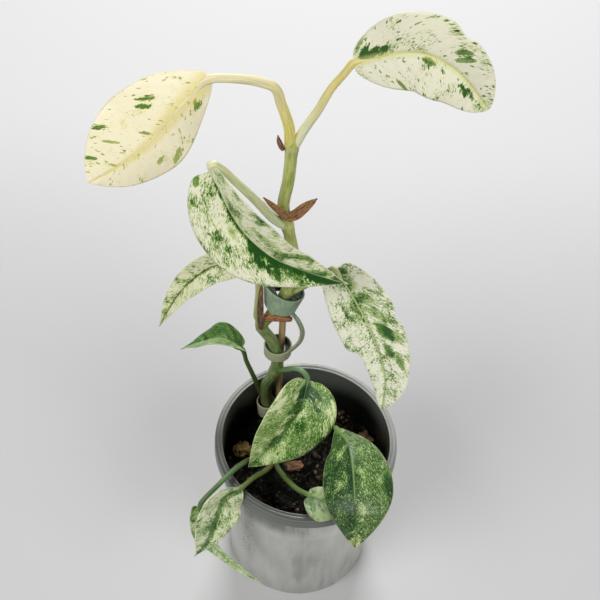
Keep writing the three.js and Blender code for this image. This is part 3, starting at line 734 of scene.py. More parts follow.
def build_coir(look):
    bm = new_mesh()
    at = Vector((*COIR_AT, soil_height(look, *COIR_AT) + 1.96))
    bmesh.ops.create_icosphere(bm, subdivisions=4, radius=5.2)
    for vert in bm.verts:
        vert.co *= 1 + 0.16 * rough_noise(vert.co, 2.2, 3) + 0.1 * rough_noise(vert.co, 0.9, 6)
        vert.co.x *= 1.1
        vert.co.z *= 0.72
    bmesh.ops.rotate(bm, verts=bm.verts, cent=(0, 0, 0), matrix=Matrix.Rotation(0.3, 3, "Z"))
    bmesh.ops.translate(bm, verts=bm.verts, vec=at)
    keep_above(look, bm.verts)
    shaggy = Finish("shaggy coir")
    place = shaggy.object_place()
    strands = shaggy.noise(place, 600, 3, 0.7)
    clumps = shaggy.noise(place, 330, 2, 0.5)
    dark = shaded(look.coir, 0.12)
    pale = shaded(look.coir, 1.5)
    shade = shaggy.ramp(strands * 0.4 + clumps * 0.6, [(0.4, dark), (0.5, shaded(look.coir)), (0.62, pale)])
    finish = shaggy.surface(shade, 0.8 + strands * 0.15, shaggy.bump(strands, 0.0006, 0.9))
    tuft = finish_piece(bm, "coir_tuft", ["coir_lump"], [finish])
    draw = random.Random(17)
    bits = []
    for _ in range(COIR_LOBES):
        spot = at + dome_spot(draw, 0.1, (5.4, 5.0, 3.6))
        lobe = new_mesh()
        turn = Matrix.Rotation(draw.uniform(0, 3), 4, Vector((draw.random(), draw.random(), 1)))
        bmesh.ops.create_icosphere(
            lobe, subdivisions=3, radius=draw.uniform(1.2, 2.1),
            matrix=Matrix.Translation(spot) @ turn @ Matrix.Diagonal((1.3, 0.8, 0.9, 1)))
        for vert in lobe.verts:
            vert.co += (vert.co - spot) * (0.5 * rough_noise(vert.co, 0.9, 5))
        keep_above(look, lobe.verts)
        bits.append(loose_bit(lobe, [finish]))
    for _ in range(COIR_STRANDS):
        root = dome_spot(draw, -0.1, (5.7, 5.2, 3.9))
        out = root.normalized()
        along = Vector((draw.uniform(-1, 1), draw.uniform(-1, 1), draw.uniform(-0.5, 0.6)))
        along = (along - out * along.dot(out) * 0.8).normalized()
        reach = draw.uniform(1.6, 3.4)
        points = [root * 0.97, root * 1.04 + along * reach * 0.5, root * draw.uniform(0.96, 1.06) + along * reach]
        points = [point + at for point in points]
        if min(point.z - soil_height(look, point.x, point.y) for point in points) > 0.2:
            strand = new_mesh()
            tube(strand, points, lambda share, place: 0.16 * (1.1 - share), 3, 3, facing=(0.3, 0.2, 1))
            bits.append(loose_bit(strand, [finish]))
    joined(tuft, bits)


def bark_chip(look, name, node, at, radius, stretch, turn, shade):
    bm = new_mesh()
    bmesh.ops.create_cube(bm, size=2)
    bmesh.ops.subdivide_edges(bm, edges=bm.edges, cuts=9, use_grid_fill=True)
    for vert in bm.verts:
        place = vert.co.copy()
        round_off = 0.72 + 0.28 / max(place.length, 0.4)
        place *= round_off
        place.x *= radius * stretch * 0.86
        place.y *= radius * 0.8
        place.z *= radius * 0.5
        layer = 0.3 * radius * rough_noise((place.x * 0.35, place.y * 1.4, place.z * 2.5), 1.6, radius)
        crack = 0.22 * radius * rough_noise(place, 1.1, radius + 5)
        place += place.normalized() * (layer + crack)
        vert.co = place
    bmesh.ops.rotate(bm, verts=bm.verts, cent=(0, 0, 0), matrix=Matrix.Rotation(turn, 3, "Z"))
    lift = soil_height(look, *at) + radius * 0.35
    bmesh.ops.translate(bm, verts=bm.verts, vec=(*at, lift))
    keep_above(look, bm.verts)
    bark = Finish(name.replace("_", " "))
    place = bark.object_place()
    x, y, z = bark.split(place)
    fibres = bark.noise(bark.join(x * 0.5, y, z * 2.5), 700, 3, 0.65)
    patches = bark.noise(place, 240, 2, 0.5)
    dark = shaded(shade, 0.28)
    pale = shaded(shade, 1.7)
    tint = bark.ramp(fibres * 0.6 + patches * 0.4, [(0.35, dark), (0.5, shaded(shade)), (0.66, pale)])
    finish = bark.surface(tint, 0.7 + fibres * 0.2, bark.bump(fibres, 0.0008, 0.9))
    finish_piece(bm, name, [node], [finish])


# ---------------------------------------------------------------- stake, stem and shoot

STAKE_AT = (-20.5, 41)
STEM_ROUTE = [
    (-27, 38, 62), (-27, 37, 102), (-29, 36, 139), (-24, 35, 155), (-23, 34, 178), (-26, 34, 190),
    (-33, 33, 207), (-29, 33, 215), (-22, 32, 233), (-17, 31, 248), (-15, 30, 268), (-18, 30, 286),
    (-21, 30, 301), (-23, 30, 312), (-21, 30, 331), (-20, 30, 358),
]
STEM_NODES = (118, 157, 207, 243, 300, 353)
SHOOT_ROUTE = [(-16, 27, 84), (-17, 23, 101), (-20, 10, 109), (-20, -7, 111)]


def build_stake(look):
    radius = look.stake_radius / MM
    bm = new_mesh()

    def worn(share, angle, place):
        return 1 + 0.025 * math.sin(3 * angle + share * 5) + 0.02 * rough_noise((angle * 2, share * 30, 0), 1, 2)

    points = [(*STAKE_AT, 45), (*STAKE_AT, 110), (*STAKE_AT, 180), (*STAKE_AT, 251.6)]
    tube(bm, points, lambda share, place: radius * 0.98, 24, 60, shape=worn)
    top = [edge for edge in bm.edges if all(vert.co.z > 251 for vert in edge.verts)]
    soften(bm, top, 0.25)
    wood = Finish("split wood")
    x, y, z = wood.split(wood.object_place())
    fibres = wood.noise(wood.join(x, y, z * 0.035), 1500, 3, 0.6)
    bands = wood.noise(wood.join(x * 0.4, y * 0.4, z * 0.2), 130, 2, 0.5)
    pale = shaded(look.wood)
    dark = shaded(look.wood, 0.42)
    light = shaded(look.wood, 1.2)
    shade = wood.ramp(fibres * 0.65 + bands * 0.35, [(0.3, dark), (0.5, pale), (0.75, light)])
    # Painted shade: the stake is made darker from the rim's height down to the soil, inside the pot.
    damp_and_shade = z.between(0.135, 0.1)
    shade = wood.blend(damp_and_shade * 0.6, shade, dark)
    finish = wood.surface(shade, 0.6 + fibres * 0.15, wood.bump(fibres, 0.0003, 0.7))
    finish_piece(bm, "wooden_stake", ["stake"], [finish])


def stem_finish(look):
    skin = Finish("stem skin")
    grain_x, grain_y, along = skin.split(skin.attribute("grain"))
    _, _, z = skin.split(skin.object_place())
    stripes = skin.noise(skin.join(grain_x, grain_y, along * 0.03), 2.2, 3, 0.6)
    blotches = skin.noise(skin.join(grain_x, grain_y, along * 0.4), 0.32, 2, 0.5)
    green = shaded(look.stem)
    pale = shaded(look.stem_pale)
    dark = shaded(look.stem, 0.6)
    shade = skin.ramp(stripes * 0.6 + blotches * 0.4, [(0.34, dark), (0.47, green), (0.64, pale)])
    # Painted highlight: one side of the upper stem, above 0.31 m, is made paler.
    right = grain_x.between(0.6, 2.4) * z.between(0.3, 0.31)
    shade = skin.blend(right * 0.6, shade, pale)
    lower = z.between(0.3, 0.17)
    sage = skin.ramp(
        stripes * 0.7 + blotches * 0.3, [(0.36, paint(0x3f5528)), (0.5, paint(0x6a8448)), (0.66, paint(0x98a870))])
    shade = skin.blend(lower, shade, sage)
    shade = skin.blend(z.between(0.165, 0.12) * 0.55, shade, paint(0x4f4a2a))
    for height in STEM_NODES:
        ring = abs(z - height * MM).between(0.0022, 0.0004)
        scar = paint(0xcdc78c) if height > 290 else paint(0x8f8a55)
        shade = skin.blend(ring * (0.35 + stripes.between(0.35, 0.6) * 0.5), shade, scar)
    return skin.surface(shade, 0.42 + stripes * 0.15, skin.bump(stripes, 0.0004, 0.6))


def build_stem(look):
    bm = new_mesh()
    lowest, highest = STEM_ROUTE[0][2], STEM_ROUTE[-1][2]

    def radius_at(share, place):
        rise = (place.z - lowest) / (highest - lowest)
        radius = mix(4, 3.2, rise)
        for height in STEM_NODES:
            radius += 0.6 * math.exp(-((place.z - height) / 4) ** 2)
            radius += 0.28 * math.exp(-((place.z - height - 1.2) / 0.5) ** 2)
            radius -= 0.18 * math.exp(-((place.z - height + 0.6) / 0.5) ** 2)
        return radius - 0.12

    def ribs(share, angle, place):
        return 1 + 0.02 * math.sin(9 * angle + 3 * math.sin(share * 9)) + 0.015 * rough_noise(place, 5, 2)

    tube(bm, STEM_ROUTE, radius_at, 28, 300, shape=ribs)
    finish_piece(bm, "climbing_stem", ["main_stem"], [stem_finish(look)])


def build_shoot(look):
    bm = new_mesh()
    tube(bm, SHOOT_ROUTE, lambda share, place: mix(3.2, 2.6, share) + 0.25 * math.cos(share * 19), 20, 60)
    skin = Finish("low shoot skin")
    grain_x, grain_y, along = skin.split(skin.attribute("grain"))
    stripes = skin.noise(skin.join(grain_x, grain_y, along * 0.05), 2.4, 3, 0.6)
    dark = shaded(look.shoot, 0.4)
    shade = skin.ramp(stripes, [(0.35, dark), (0.5, shaded(look.shoot)), (0.66, shaded(look.stem_pale))])
    finish = skin.surface(shade, 0.5 + stripes * 0.1, skin.bump(stripes, 0.0004, 0.6))
    finish_piece(bm, "creeping_shoot", ["side_shoot"], [finish])


# ---------------------------------------------------------------- leaves

PLAIN_LEAF = {
    "straight": 0.3, "curl": 8, "wave": 0.8, "waves": 2.6, "phase": 0, "step": None, "nicks": (), "shoulder": 0,
}

LEAVES = {
    "leaf_1_top_left": dict(
        petiole=[(-21, 30, 352), (-22, 28, 366), (-26, 26, 381), (-29, 24, 391), (-35, 22, 395), (-45, 18, 399)],
        stalk=(2.9, 1.9),
        midrib=[(-58, 14, 400), (-71, 8, 387), (-85, 3, 370), (-99, -1, 359), (-112, -4, 351)],
        face=(0.1, -0.96, 0.24), tip_face=(0.15, -0.97, 0.19),
        left=18.5, right=25, widest=0.54, fullness=0.95, shoulder=0.01, lobe=0.2, straight=0.6,
        fold_left=(-12, 0), fold_right=(-12, 0),
    ),
    "leaf_2_top_right": dict(
        petiole=[(-19, 30, 353), (-15, 29, 364), (-9, 27, 378), (-4, 25, 392), (1, 23, 402)],
        stalk=(2.5, 1.7),
        midrib=[(5, 22, 409), (25, 16, 420), (34, 13, 422), (47, 9, 418), (63, 5, 403)],
        face=(-0.25, -0.94, 0.24), tip_face=(-0.28, -0.96, 0.03),
        left=18.5, right=17.5, widest=0.5, fullness=0.64, shoulder=0.01, lobe=0.1, straight=0.3,
        fold_left=(8, 20), fold_right=(8, 20), phase=0.4,
        nicks=((0.62, -1, 0.13, 0.035),),
    ),
    "leaf_3_large_front": dict(
        petiole=[(-21, 30, 298), (-27, 26, 306), (-37, 21, 324), (-47, 16, 341), (-53, 13, 351), (-57, 11, 355)],
        stalk=(2.8, 1.8),
        midrib=[(-57, 11, 351), (-51, 5, 340), (-42, -1, 326), (-27, -5, 312), (-12, -7, 306), (13, -7, 297)],
        face=(-0.13, -0.98, 0.17), tip_face=(0.03, -0.93, 0.37),
        left=21.5, right=24.5, widest=0.34, fullness=0.65, shoulder=0.02, lobe=0.2, straight=0.5,
        fold_left=(52, 22), fold_right=(5, 10), phase=0.7,
    ),
    "leaf_4_right": dict(
        petiole=[(-15, 31, 244), (-9, 31, 249), (-3, 28, 258), (3, 25, 269)],
        stalk=(2.2, 1.6),
        midrib=[(7, 22, 275), (19, 13, 262), (32, 2, 242), (41, -8, 219), (42, -15, 198)],
        face=(0.02, -0.9, 0.44), tip_face=(-0.3, -0.91, 0.3),
        left=18.5, right=18.5, widest=0.44, fullness=0.51, shoulder=0.01, lobe=0.22,
        fold_left=(5, 15), fold_right=(0, 10), step=(0.56, 0.4, 0.025), phase=0.2,
        nicks=((0.4, -1, 0.12, 0.03),),
    ),
    "leaf_5_left": dict(
        petiole=[(-33, 33, 208), (-36, 33, 214), (-36, 33, 226), (-35.5, 33, 241), (-37, 33, 253)],
        stalk=(1.8, 1.5),
        midrib=[(-42, 32, 261), (-59, 30, 262), (-75, 26, 249), (-82, 23, 239), (-93, 20, 215)],
        face=(-0.22, -0.85, 0.47), tip_face=(-0.27, -0.82, 0.51),
        left=10.5, right=10.5, widest=0.31, fullness=0.5, lobe=0, straight=0,
        fold_left=(34, 60), fold_right=(34, 60), wave=0.5,
    ),
    "leaf_6_low_left": dict(
        petiole=[(-28, 36.5, 112), (-32, 37, 124), (-38, 39, 143), (-43, 41, 157)],
        stalk=(1.9, 1.5),
        midrib=[(-46, 42, 169), (-59, 42, 179), (-71, 42, 174), (-86, 42, 164)],
        face=(-0.15, 0.08, 0.99), tip_face=(-0.14, 0.39, 0.91),
        left=14, right=11, widest=0.36, fullness=0.77, shoulder=0.04, lobe=0.13, straight=0,
        fold_left=(45, 10), fold_right=(45, 10), wave=0.4,
    ),
    "leaf_7_over_soil": dict(
        petiole=[(-24, 35, 157), (-16, 31, 165), (-10, 28, 171), (-5, 25, 172)],
        stalk=(2.1, 1.6),
        midrib=[(-2, 22, 168), (-6, 6, 156), (-21, -8, 138), (-36, -18, 122)],
        face=(0.25, -0.87, 0.43), tip_face=(0.13, -0.86, 0.5),
        left=25, right=25, widest=0.34, fullness=0.55, shoulder=0.02, lobe=0.04, straight=0.1,
        fold_left=(12, 20), fold_right=(34, 30), phase=0.55,
    ),
    "leaf_8_front_right": dict(
        petiole=[(-20, 12, 110), (-5, 13, 117), (9, 10, 129), (17, 5, 141)],
        stalk=(2, 1.6),
        midrib=[(19, -1, 149), (26, -20, 162), (29, -43, 164), (31, -62, 157), (33, -75, 138)],
        face=(-0.05, -0.24, 0.97), tip_face=(-0.15, -0.26, 0.95),
        left=26, right=21, widest=0.53, fullness=1, lobe=0.16,
        fold_left=(-22, -15), fold_right=(-22, -15), phase=0.1,
    ),
    "leaf_9_young_front": dict(
        petiole=[(-20, -5, 111), (-17, -13, 115), (-11, -24, 122), (-3, -37, 133)],
        stalk=(1.9, 1.5),
        midrib=[(4, -46, 144), (15, -51, 145), (26, -54, 144)],
        face=(-0.12, -0.62, 0.78), tip_face=(-0.12, -0.62, 0.78),
        left=8.5, right=12.5, widest=0.41, fullness=0.67, shoulder=0.01, lobe=0.28, straight=0.6,
        fold_left=(18, 6), fold_right=(8, 8), wave=0,
    ),
    "leaf_10_front_left": dict(
        petiole=[(-20, -5, 111), (-23, -14, 116), (-31, -27, 127)],
        stalk=(1.9, 1.5),
        midrib=[(-38, -43, 141), (-48, -53, 144), (-52, -63, 136), (-56, -71, 124), (-64, -74, 106)],
        face=(0.41, -0.79, 0.44), tip_face=(0.35, -0.79, 0.5),
        left=16.5, right=18, widest=0.34, fullness=0.78, lobe=0, straight=0.6,
        fold_left=(10, -12), fold_right=(45, 25), phase=0.3,
    ),
    "leaf_11_low_front_left": dict(
        petiole=[(-20, 4, 110), (-30, -3, 111), (-36, -8, 114), (-40, -21, 131), (-44, -30, 139), (-52, -43, 143)],
        stalk=(2, 1.5),
        midrib=[(-62, -54, 136), (-61, -59, 126), (-58, -63, 113), (-51, -66, 100), (-40, -68, 84), (-22, -71, 65)],
        face=(0.06, -0.96, 0.28), tip_face=(0, -0.97, 0.25),
        left=4, right=8.5, widest=0.41, fullness=0.57, shoulder=0.07, lobe=0.28, straight=0.1,
        fold_left=(18, 25), fold_right=(18, 25), step=(0.36, 0.55, 0.09), wave=0.3,
    ),
}

# How each blade is variegated. Its tone runs from 0, cream, to 1, dark green, and sums up:
# tone, a base for the left and the right half; mottle, marble and cloud, the strength of those noises;
# flecks (amount, threshold, size) and specks (amount, threshold) that run along the veins;
# spots (amount, size, extent); sector, a band along the midrib (side, or 0 for both, width at base and at tip, amount);
# patches (share of the length, share of the half width with its side as the sign, half size across, half size along
# the midrib, amount). glow is a colour beside the midrib (colour, width at base and at tip, strength), rib the
# midrib's colour, and stalk the petiole's colours at foot and top. All widths and sizes are in millimetres.
VARIEGATION = {
    "leaf_1_top_left": dict(
        slot="leaf_yellow_cream", cream=0xfff6d2, light=0xf1e59e, green=0xa6b566, dark=0x5c8434,
        tone=(0.06, 0.08), mottle=0.2, marble=0.25, cloud=0.18, flecks=(0.25, 0.66, 0.8), specks=(0.3, 0.66),
        patches=[
            (0.34, 0.62, 3.2, 1.5, 1.0), (0.39, 0.55, 2.6, 1.4, 1.0), (0.7, 0.88, 2.8, 1.7, 1.0),
            (0.17, -0.45, 2.2, 3.4, 1.0), (0.88, 0.75, 1.6, 1.6, 0.8), (0.48, -0.8, 2.2, 3.2, 0.55),
            (0.49, 0.15, 2.2, 0.9, 0.7), (0.7, 0.5, 2.4, 0.9, 0.55), (0.57, -0.55, 1.3, 2, 0.5),
            (0.8, 0.12, 2.4, 1, 0.5),
        ],
        glow=(0xe6d45c, 8, 0.4, 0.55), rib=0xe6d888, stalk=(0xeede7c, 0xf7ecbc),
        spots=(0.55, 2.3, 0.06),
    ),
    "leaf_2_top_right": dict(
        slot="leaf_white_flecked", cream=0xf1eed3, light=0xc6cf92, green=0x7f9a50, dark=0x2f5c1a,
        tone=(0.08, 0.06), mottle=0.4, marble=0.3, cloud=0.15, flecks=(0.3, 0.62, 0.8), specks=(0.3, 0.62),
        patches=[
            (0.08, -0.3, 3.4, 2, 0.9), (0.14, -0.24, 2.2, 3.6, 0.9), (0.2, -0.2, 2, 3.6, 0.9), (0.25, -0.2, 2, 3, 0.9),
            (0.65, -0.57, 2.4, 2.2, 0.7), (0.68, -0.45, 3, 1.4, 0.6), (0.8, 0.28, 1.5, 3.4, 0.9),
            (0.85, 0.2, 1.4, 3, 0.9), (0.5, 0.14, 1.4, 2.6, 0.6), (0.47, -0.93, 1.5, 1.2, 0.9),
            (0.32, 0.85, 2.4, 1, 0.6), (0.07, -0.9, 3, 1.6, 0.4),
        ],
        glow=(0xd0d384, 3, 2, 0.6), rib=0xcfd095, stalk=(0xeeeec8, 0xf0e08e),
        spots=(0.6, 2.0, 0.1),
    ),
    "leaf_3_large_front": dict(
        slot="leaf_half_white", cream=0xf0eed2, light=0xc3d18c, green=0x6a943c, dark=0x184a0a,
        tone=(0.2, 0.16), mottle=1.0, marble=0.4, cloud=0.25, flecks=(0.32, 0.55, 0.9), specks=(0.32, 0.56),
        sector=(1, 1.2, 4.2, 0.6),
        patches=[
            (0.46, 0.13, 3.6, 4.5, 0.7), (0.53, 0.2, 4.5, 5, 0.75), (0.6, 0.28, 5, 4.5, 0.75), (0.33, 0.2, 2, 4, 0.3),
            (0.72, 0.3, 4, 5, 0.4), (0.82, -0.1, 3.4, 6, 0.45), (0.86, 0.3, 4, 6, 0.5), (0.96, 0, 5, 6, 0.55),
            (0.03, 0.83, 2, 2.4, 0.5), (0.69, -0.8, 2, 6, 0.4), (0.6, -0.45, 2, 6, 0.35), (0.45, -0.5, 2, 8, 0.25),
        ],
        glow=(0x5a7a50, 0.4, 0.8, 0.4), rib=0xb3c27a, stalk=(0xd6dcae, 0xe6e6b8),
    ),
    "leaf_4_right": dict(
        slot="leaf_pale_marbled", cream=0xf0efd8, light=0xc2cf96, green=0x6d8f44, dark=0x2f5a28,
        tone=(0.14, 0.1), mottle=0.7, marble=0.42, cloud=0.25, flecks=(0.3, 0.56, 0.8), specks=(0.35, 0.57),
        sector=(0, 2.2, 0.7, 0.35),
        patches=[
            (0.03, -0.3, 3, 2, 0.5), (0.1, -0.2, 3, 5, 0.3), (0.24, -0.3, 4, 4, 0.35), (0.33, -0.38, 4, 4, 0.4),
            (0.45, -0.4, 4, 5, 0.55), (0.49, -0.62, 4, 4, 0.4), (0.57, -0.34, 2.4, 4, 0.5), (0.27, 0.48, 1.2, 3.4, 0.6),
            (0.67, -0.68, 2, 3, 0.45), (0.3, 0.14, 1.6, 9, 0.35),
        ],
        glow=(0x86a556, 1.2, 0.4, 0.4), rib=0x3f6b2a, stalk=(0xa9b770, 0xc8d498),
        spots=(0.3, 1.9, 0.08),
    ),
    "leaf_5_left": dict(
        slot="leaf_light_marbled", cream=0xeeedca, light=0xc6d192, green=0x668b40, dark=0x2c541f,
        tone=(0.2, 0.17), mottle=0.9, marble=0.5, cloud=0.4, flecks=(0.38, 0.56, 0.9), specks=(0.35, 0.6),
        sector=(0, 1.4, 1.2, 0.45),
        patches=[],
        glow=(0x7f9f52, 1.4, 1, 0.4), rib=0x50743a, stalk=(0xaab871, 0xc2c98b),
    ),
    "leaf_6_low_left": dict(
        slot="leaf_dark", cream=0xb9c894, light=0x86a45c, green=0x4f7638, dark=0x233f1c,
        tone=(0.46, 0.7), mottle=1.8, marble=0.6, cloud=0.4, flecks=(-0.35, 0.55, 1.0), specks=(-0.2, 0.58),
        patches=[],
        glow=(0x55753d, 1, 0.6, 0.4), rib=0x6d8a4e, stalk=(0x4a4a28, 0x3f5a2c),
    ),
    "leaf_7_over_soil": dict(
        slot="leaf_green_marbled", cream=0xe9efbc, light=0xa3c06c, green=0x47792b, dark=0x163f10,
        tone=(0.6, 0.45), mottle=2.4, marble=0.36, cloud=0.25, flecks=(-0.5, 0.55, 0.8), specks=(-0.35, 0.57),
        sector=(0, 1.5, 1.2, 0.25),
        patches=[
            (0.1, -0.05, 5, 5, 0.55), (0.24, 0.15, 5, 7, 0.45), (0.15, -0.38, 5, 4, 0.45), (0.4, 0.1, 4, 6, 0.35),
            (0.61, 0, 4, 5, 0.35), (0.39, -0.25, 4, 4, 0.3), (0.55, 0.6, 5, 6, 0.15), (0.3, 0.85, 4, 6, -0.3),
            (0.25, -0.85, 3, 8, -0.25), (0.75, -0.5, 4, 8, -0.2),
        ],
        glow=(0x2f5a26, 1, 0.6, 0.3), rib=0x264c1a, stalk=(0x5b7448, 0x6f9468),
        spots=(-0.22, 1.7, 0.1),
    ),
    "leaf_8_front_right": dict(
        slot="leaf_deep_marbled", cream=0xcfd89c, light=0xa2ba70, green=0x41682f, dark=0x13301a,
        tone=(0.68, 0.84), mottle=2.6, marble=0.42, cloud=0.34, flecks=(-0.4, 0.56, 0.7), specks=(-0.34, 0.58),
        patches=[
            (0.45, 0, 3, 14, 0.2), (0.3, 0.4, 5, 3, -0.25), (0.55, 0.4, 6, 3, -0.2), (0.95, 0, 5, 6, -0.35),
            (0.6, -0.9, 3, 10, 0.25),
        ],
        glow=(0x33542f, 1.6, 0.8, 0.4), rib=0x2c4c2a, stalk=(0x5a6b38, 0x6f8a4c),
        spots=(-0.25, 1.6, 0.12),
    ),
    "leaf_9_young_front": dict(
        slot="leaf_pale_marbled", cream=0xc0caa0, light=0x9db47a, green=0x55793e, dark=0x2c5222,
        tone=(0.38, 0.38), mottle=0.7, marble=0.45, cloud=0.3, flecks=(0.25, 0.6, 1.1), specks=(0.25, 0.64),
        patches=[(0.1, 0.3, 3, 3, 0.4)],
        glow=(0x5f8446, 2, 1, 0.6), rib=0x86a05c, stalk=(0x56673a, 0x728a4e),
    ),
    "leaf_10_front_left": dict(
        slot="leaf_light_marbled", cream=0xecefcb, light=0xb4c988, green=0x628a42, dark=0x244c1a,
        tone=(0.22, 0.2), mottle=1.1, marble=0.5, cloud=0.35, flecks=(0.3, 0.56, 0.8), specks=(0.2, 0.62),
        sector=(0, 3.5, 2, 0.4),
        patches=[(0.15, 0.2, 3, 4, 0.35), (0.54, 0.4, 4, 3, 0.2)],
        glow=(0x47703a, 1.2, 0.8, 0.4), rib=0x3f6226, stalk=(0x6f6240, 0x76894e),
    ),
    "leaf_11_low_front_left": dict(
        slot="leaf_deep_marbled", cream=0xdae3ba, light=0xafc486, green=0x668c46, dark=0x254a1c,
        tone=(0.32, 0.28), mottle=0.8, marble=0.4, cloud=0.3, flecks=(0.25, 0.56, 1.1), specks=(0.2, 0.6),
        patches=[],
        glow=(0x5b8040, 0.8, 0.6, 0.3), rib=0x6b8f4e, stalk=(0x6c6444, 0x5f7f50),
    ),
}


# A patch whose middle is nearer than this to the midrib, in millimetres, lies on both sides of it
PATCH_OVER_RIB = 1.5


def blade_finish(look, name, leaf, marks):
    skin = Finish(name.replace("_", " "))
    seed = float(name.split("_")[1])
    x, y, edge = skin.split(skin.attribute("grain"))
    route = Route(leaf["midrib"])
    right = x.between(-0.4, 0.4)
    reach = abs(x)

    def width(at_base, at_tip):
        return y * ((at_tip - at_base) / route.length) + at_base

    def on_side(mask, way):
        return mask * (right if way > 0 else 1 - right)

    vein = vein_place(y, reach)
    amount, threshold, size = marks["flecks"]
    speck_amount, speck_threshold = marks["specks"]
    marble = skin.noise(skin.join(vein / 3.4, reach / 7 + right * 7, seed), 1.0, 3, 0.6)
    cloud = skin.noise(skin.join(x / 9, y / 9, seed + 9), 1.0, 2, 0.5)
    bent = vein + (marble - 0.5) * 4
    flecks = skin.noise(skin.join(bent / size, reach / (size * 1.9) + right * 61, seed + 5), 1.0, 3, 0.65)
    specks = skin.noise(skin.join(bent / 0.5, reach / 0.9 + right * 31, seed + 17), 1.0, 2, 0.6)
    left_tone, right_tone = marks["tone"]
    tone = right * (right_tone - left_tone) + left_tone
    tone = tone + (marble - 0.5) * (marks["marble"] * 2) + (cloud - 0.5) * (marks["cloud"] * 2)
    tone = tone + (flecks - 0.5) * marks["mottle"]
    rarity = (0.5 - cloud) * 0.6
    tone = tone + (flecks - rarity).between(threshold, threshold + 0.06) * amount
    tone = tone + (specks - rarity).between(speck_threshold, speck_threshold + 0.07) * speck_amount
    if "spots" in marks:
        amount, size, extent = marks["spots"]
        spots = skin.cells(skin.join(bent / size, reach / (size * 1.4) + right * 41, seed), 1.0)
        spots = spots - (flecks - 0.5) * 1.2 - (marble - 0.5) * 1.2
        tone = tone + spots.between(extent + 0.1, extent) * amount
    if "sector" in marks:
        which, at_base, at_tip, amount = marks["sector"]
        band = (width(at_base, at_tip) - reach + (flecks - 0.5) * 5).between(-0.8, 1.2)
        tone = tone + (on_side(band, which) if which else band) * amount
    ragged = (flecks - 0.5) * 5 + (marble - 0.5) * 7
    for share, across, run, wide, amount in marks["patches"]:
        out = abs(across) * blade_place(leaf, route, share, across)[2]
        here = vein_place(share * route.length, out)
        aside = (reach - out) / run
        onward = (vein - here) / wide
        off = aside * aside + onward * onward + ragged
        patch = off.between(1.4, 0.5)
        tone = tone + (on_side(patch, across) if out > PATCH_OVER_RIB else patch) * amount
    cream, light, green, dark = (paint(marks[key]) for key in ("cream", "light", "green", "dark"))
    shade = skin.ramp(tone, [(0.12, cream), (0.3, light), (0.36, light), (0.55, green), (0.62, green), (0.9, dark)])
    tint, at_base, at_tip, strength = marks["glow"]
    glow_width = width(at_base, at_tip)
    glow = (reach + (marble - 0.5) * 2).between(glow_width, glow_width * 0.15) * strength
    shade = skin.blend(glow, shade, paint(tint))
    rib = reach.between(0.65, 0.2) * (1 - y * (0.6 / route.length))
    shade = skin.blend(rib * 0.8, shade, paint(marks["rib"]))
    pale = edge.between(0.6, 0.15) * 0.5
    shade = skin.blend(pale, shade, cream)
    under = skin.attribute("side")
    back = skin.blend(0.45, shade, paint(0xa9b58c))
    shade = skin.blend(under, shade, back)
    lines = ((vein * (TURN / (look.vein_gap / MM))).maths("COSINE") * 0.5 + 0.5) ** 10
    fine = skin.noise(skin.join(vein * 0.9, reach * 0.25, seed), 1.0, 2, 0.6)
    bump = skin.bump(fine * 0.6 - lines * 0.5, 0.00025, 0.7)
    rough = 0.4 + (fine - 0.5) * 0.12 + under * 0.12
    return skin.surface(shade, rough, bump, {"IOR": 1.42})


def stalk_finish(name, leaf, marks):
    skin = Finish(name.replace("_", " ") + " stalk")
    grain_x, grain_y, along = skin.split(skin.attribute("grain"))
    stripes = skin.noise(skin.join(grain_x, grain_y, along * 0.04), 1.8, 3, 0.6)
    foot, top = (paint(code) for code in marks["stalk"])
    far = Route(leaf["petiole"]).length
    base = skin.blend(along.between(far * 0.15, far * 0.95), foot, top)
    dark = skin.blend(0.4, base, paint(0x4d5a1c))
    shade = skin.blend(stripes.between(0.6, 0.36) * 0.6, base, dark)
    return skin.surface(shade, 0.42 + stripes * 0.12, skin.bump(stripes, 0.0003, 0.5))


def build_leaf(look, name):
    leaf = {**PLAIN_LEAF, **LEAVES[name]}
    marks = VARIEGATION[name]
    bm = new_mesh()
    foot, top = leaf["stalk"]
    joint = Vector(leaf["midrib"][0])
    face = Vector(leaf["face"]).normalized()
    ridge = Route(leaf["midrib"])
    keel = [joint - face * 0.3 * top]
    for share in (0.08, 0.2, 0.36, 0.52, 0.68, 0.84, 0.96):
        place, up, _ = blade_place(leaf, ridge, share, 0.001)
        keel.append(place - up * (mix(top, 0.3, share) * 0.92 - 0.1))
    whole = [Vector(point) for point in leaf["petiole"]] + keel
    petiole_length = Route([*leaf["petiole"], joint]).length
    total = Route(whole).length

    def radius_at(share, place):
        walked = share * total
        if walked < petiole_length:
            swell = 0.12 * math.exp(-((petiole_length - walked) / 4) ** 2)
            return mix(foot, top, walked / petiole_length) * (1 + swell)
        return mix(top, 0.3, (walked - petiole_length) / (total - petiole_length)) * 1.05

    def channel(share, angle, place):
        """A shallow channel along the upper side of the petiole."""
        return 1 - 0.1 * math.exp(-((angle - math.pi / 2) / 0.5) ** 2)

    tube(bm, whole, radius_at, 18, 110, facing=tuple(-face), shape=channel)
    for part in bm.faces:
        part.material_index = 1
    blade(bm, leaf, 96, 36, look.blade / MM, look.margin / MM, look.vein_gap / MM, 0.16, look.groove / MM)
    finishes = [blade_finish(look, name, leaf, marks), stalk_finish(name, leaf, marks)]
    number = name.split("_")[1]
    finish_piece(bm, f"grown_leaf_{number}", [name], finishes)


# ---------------------------------------------------------------- ties

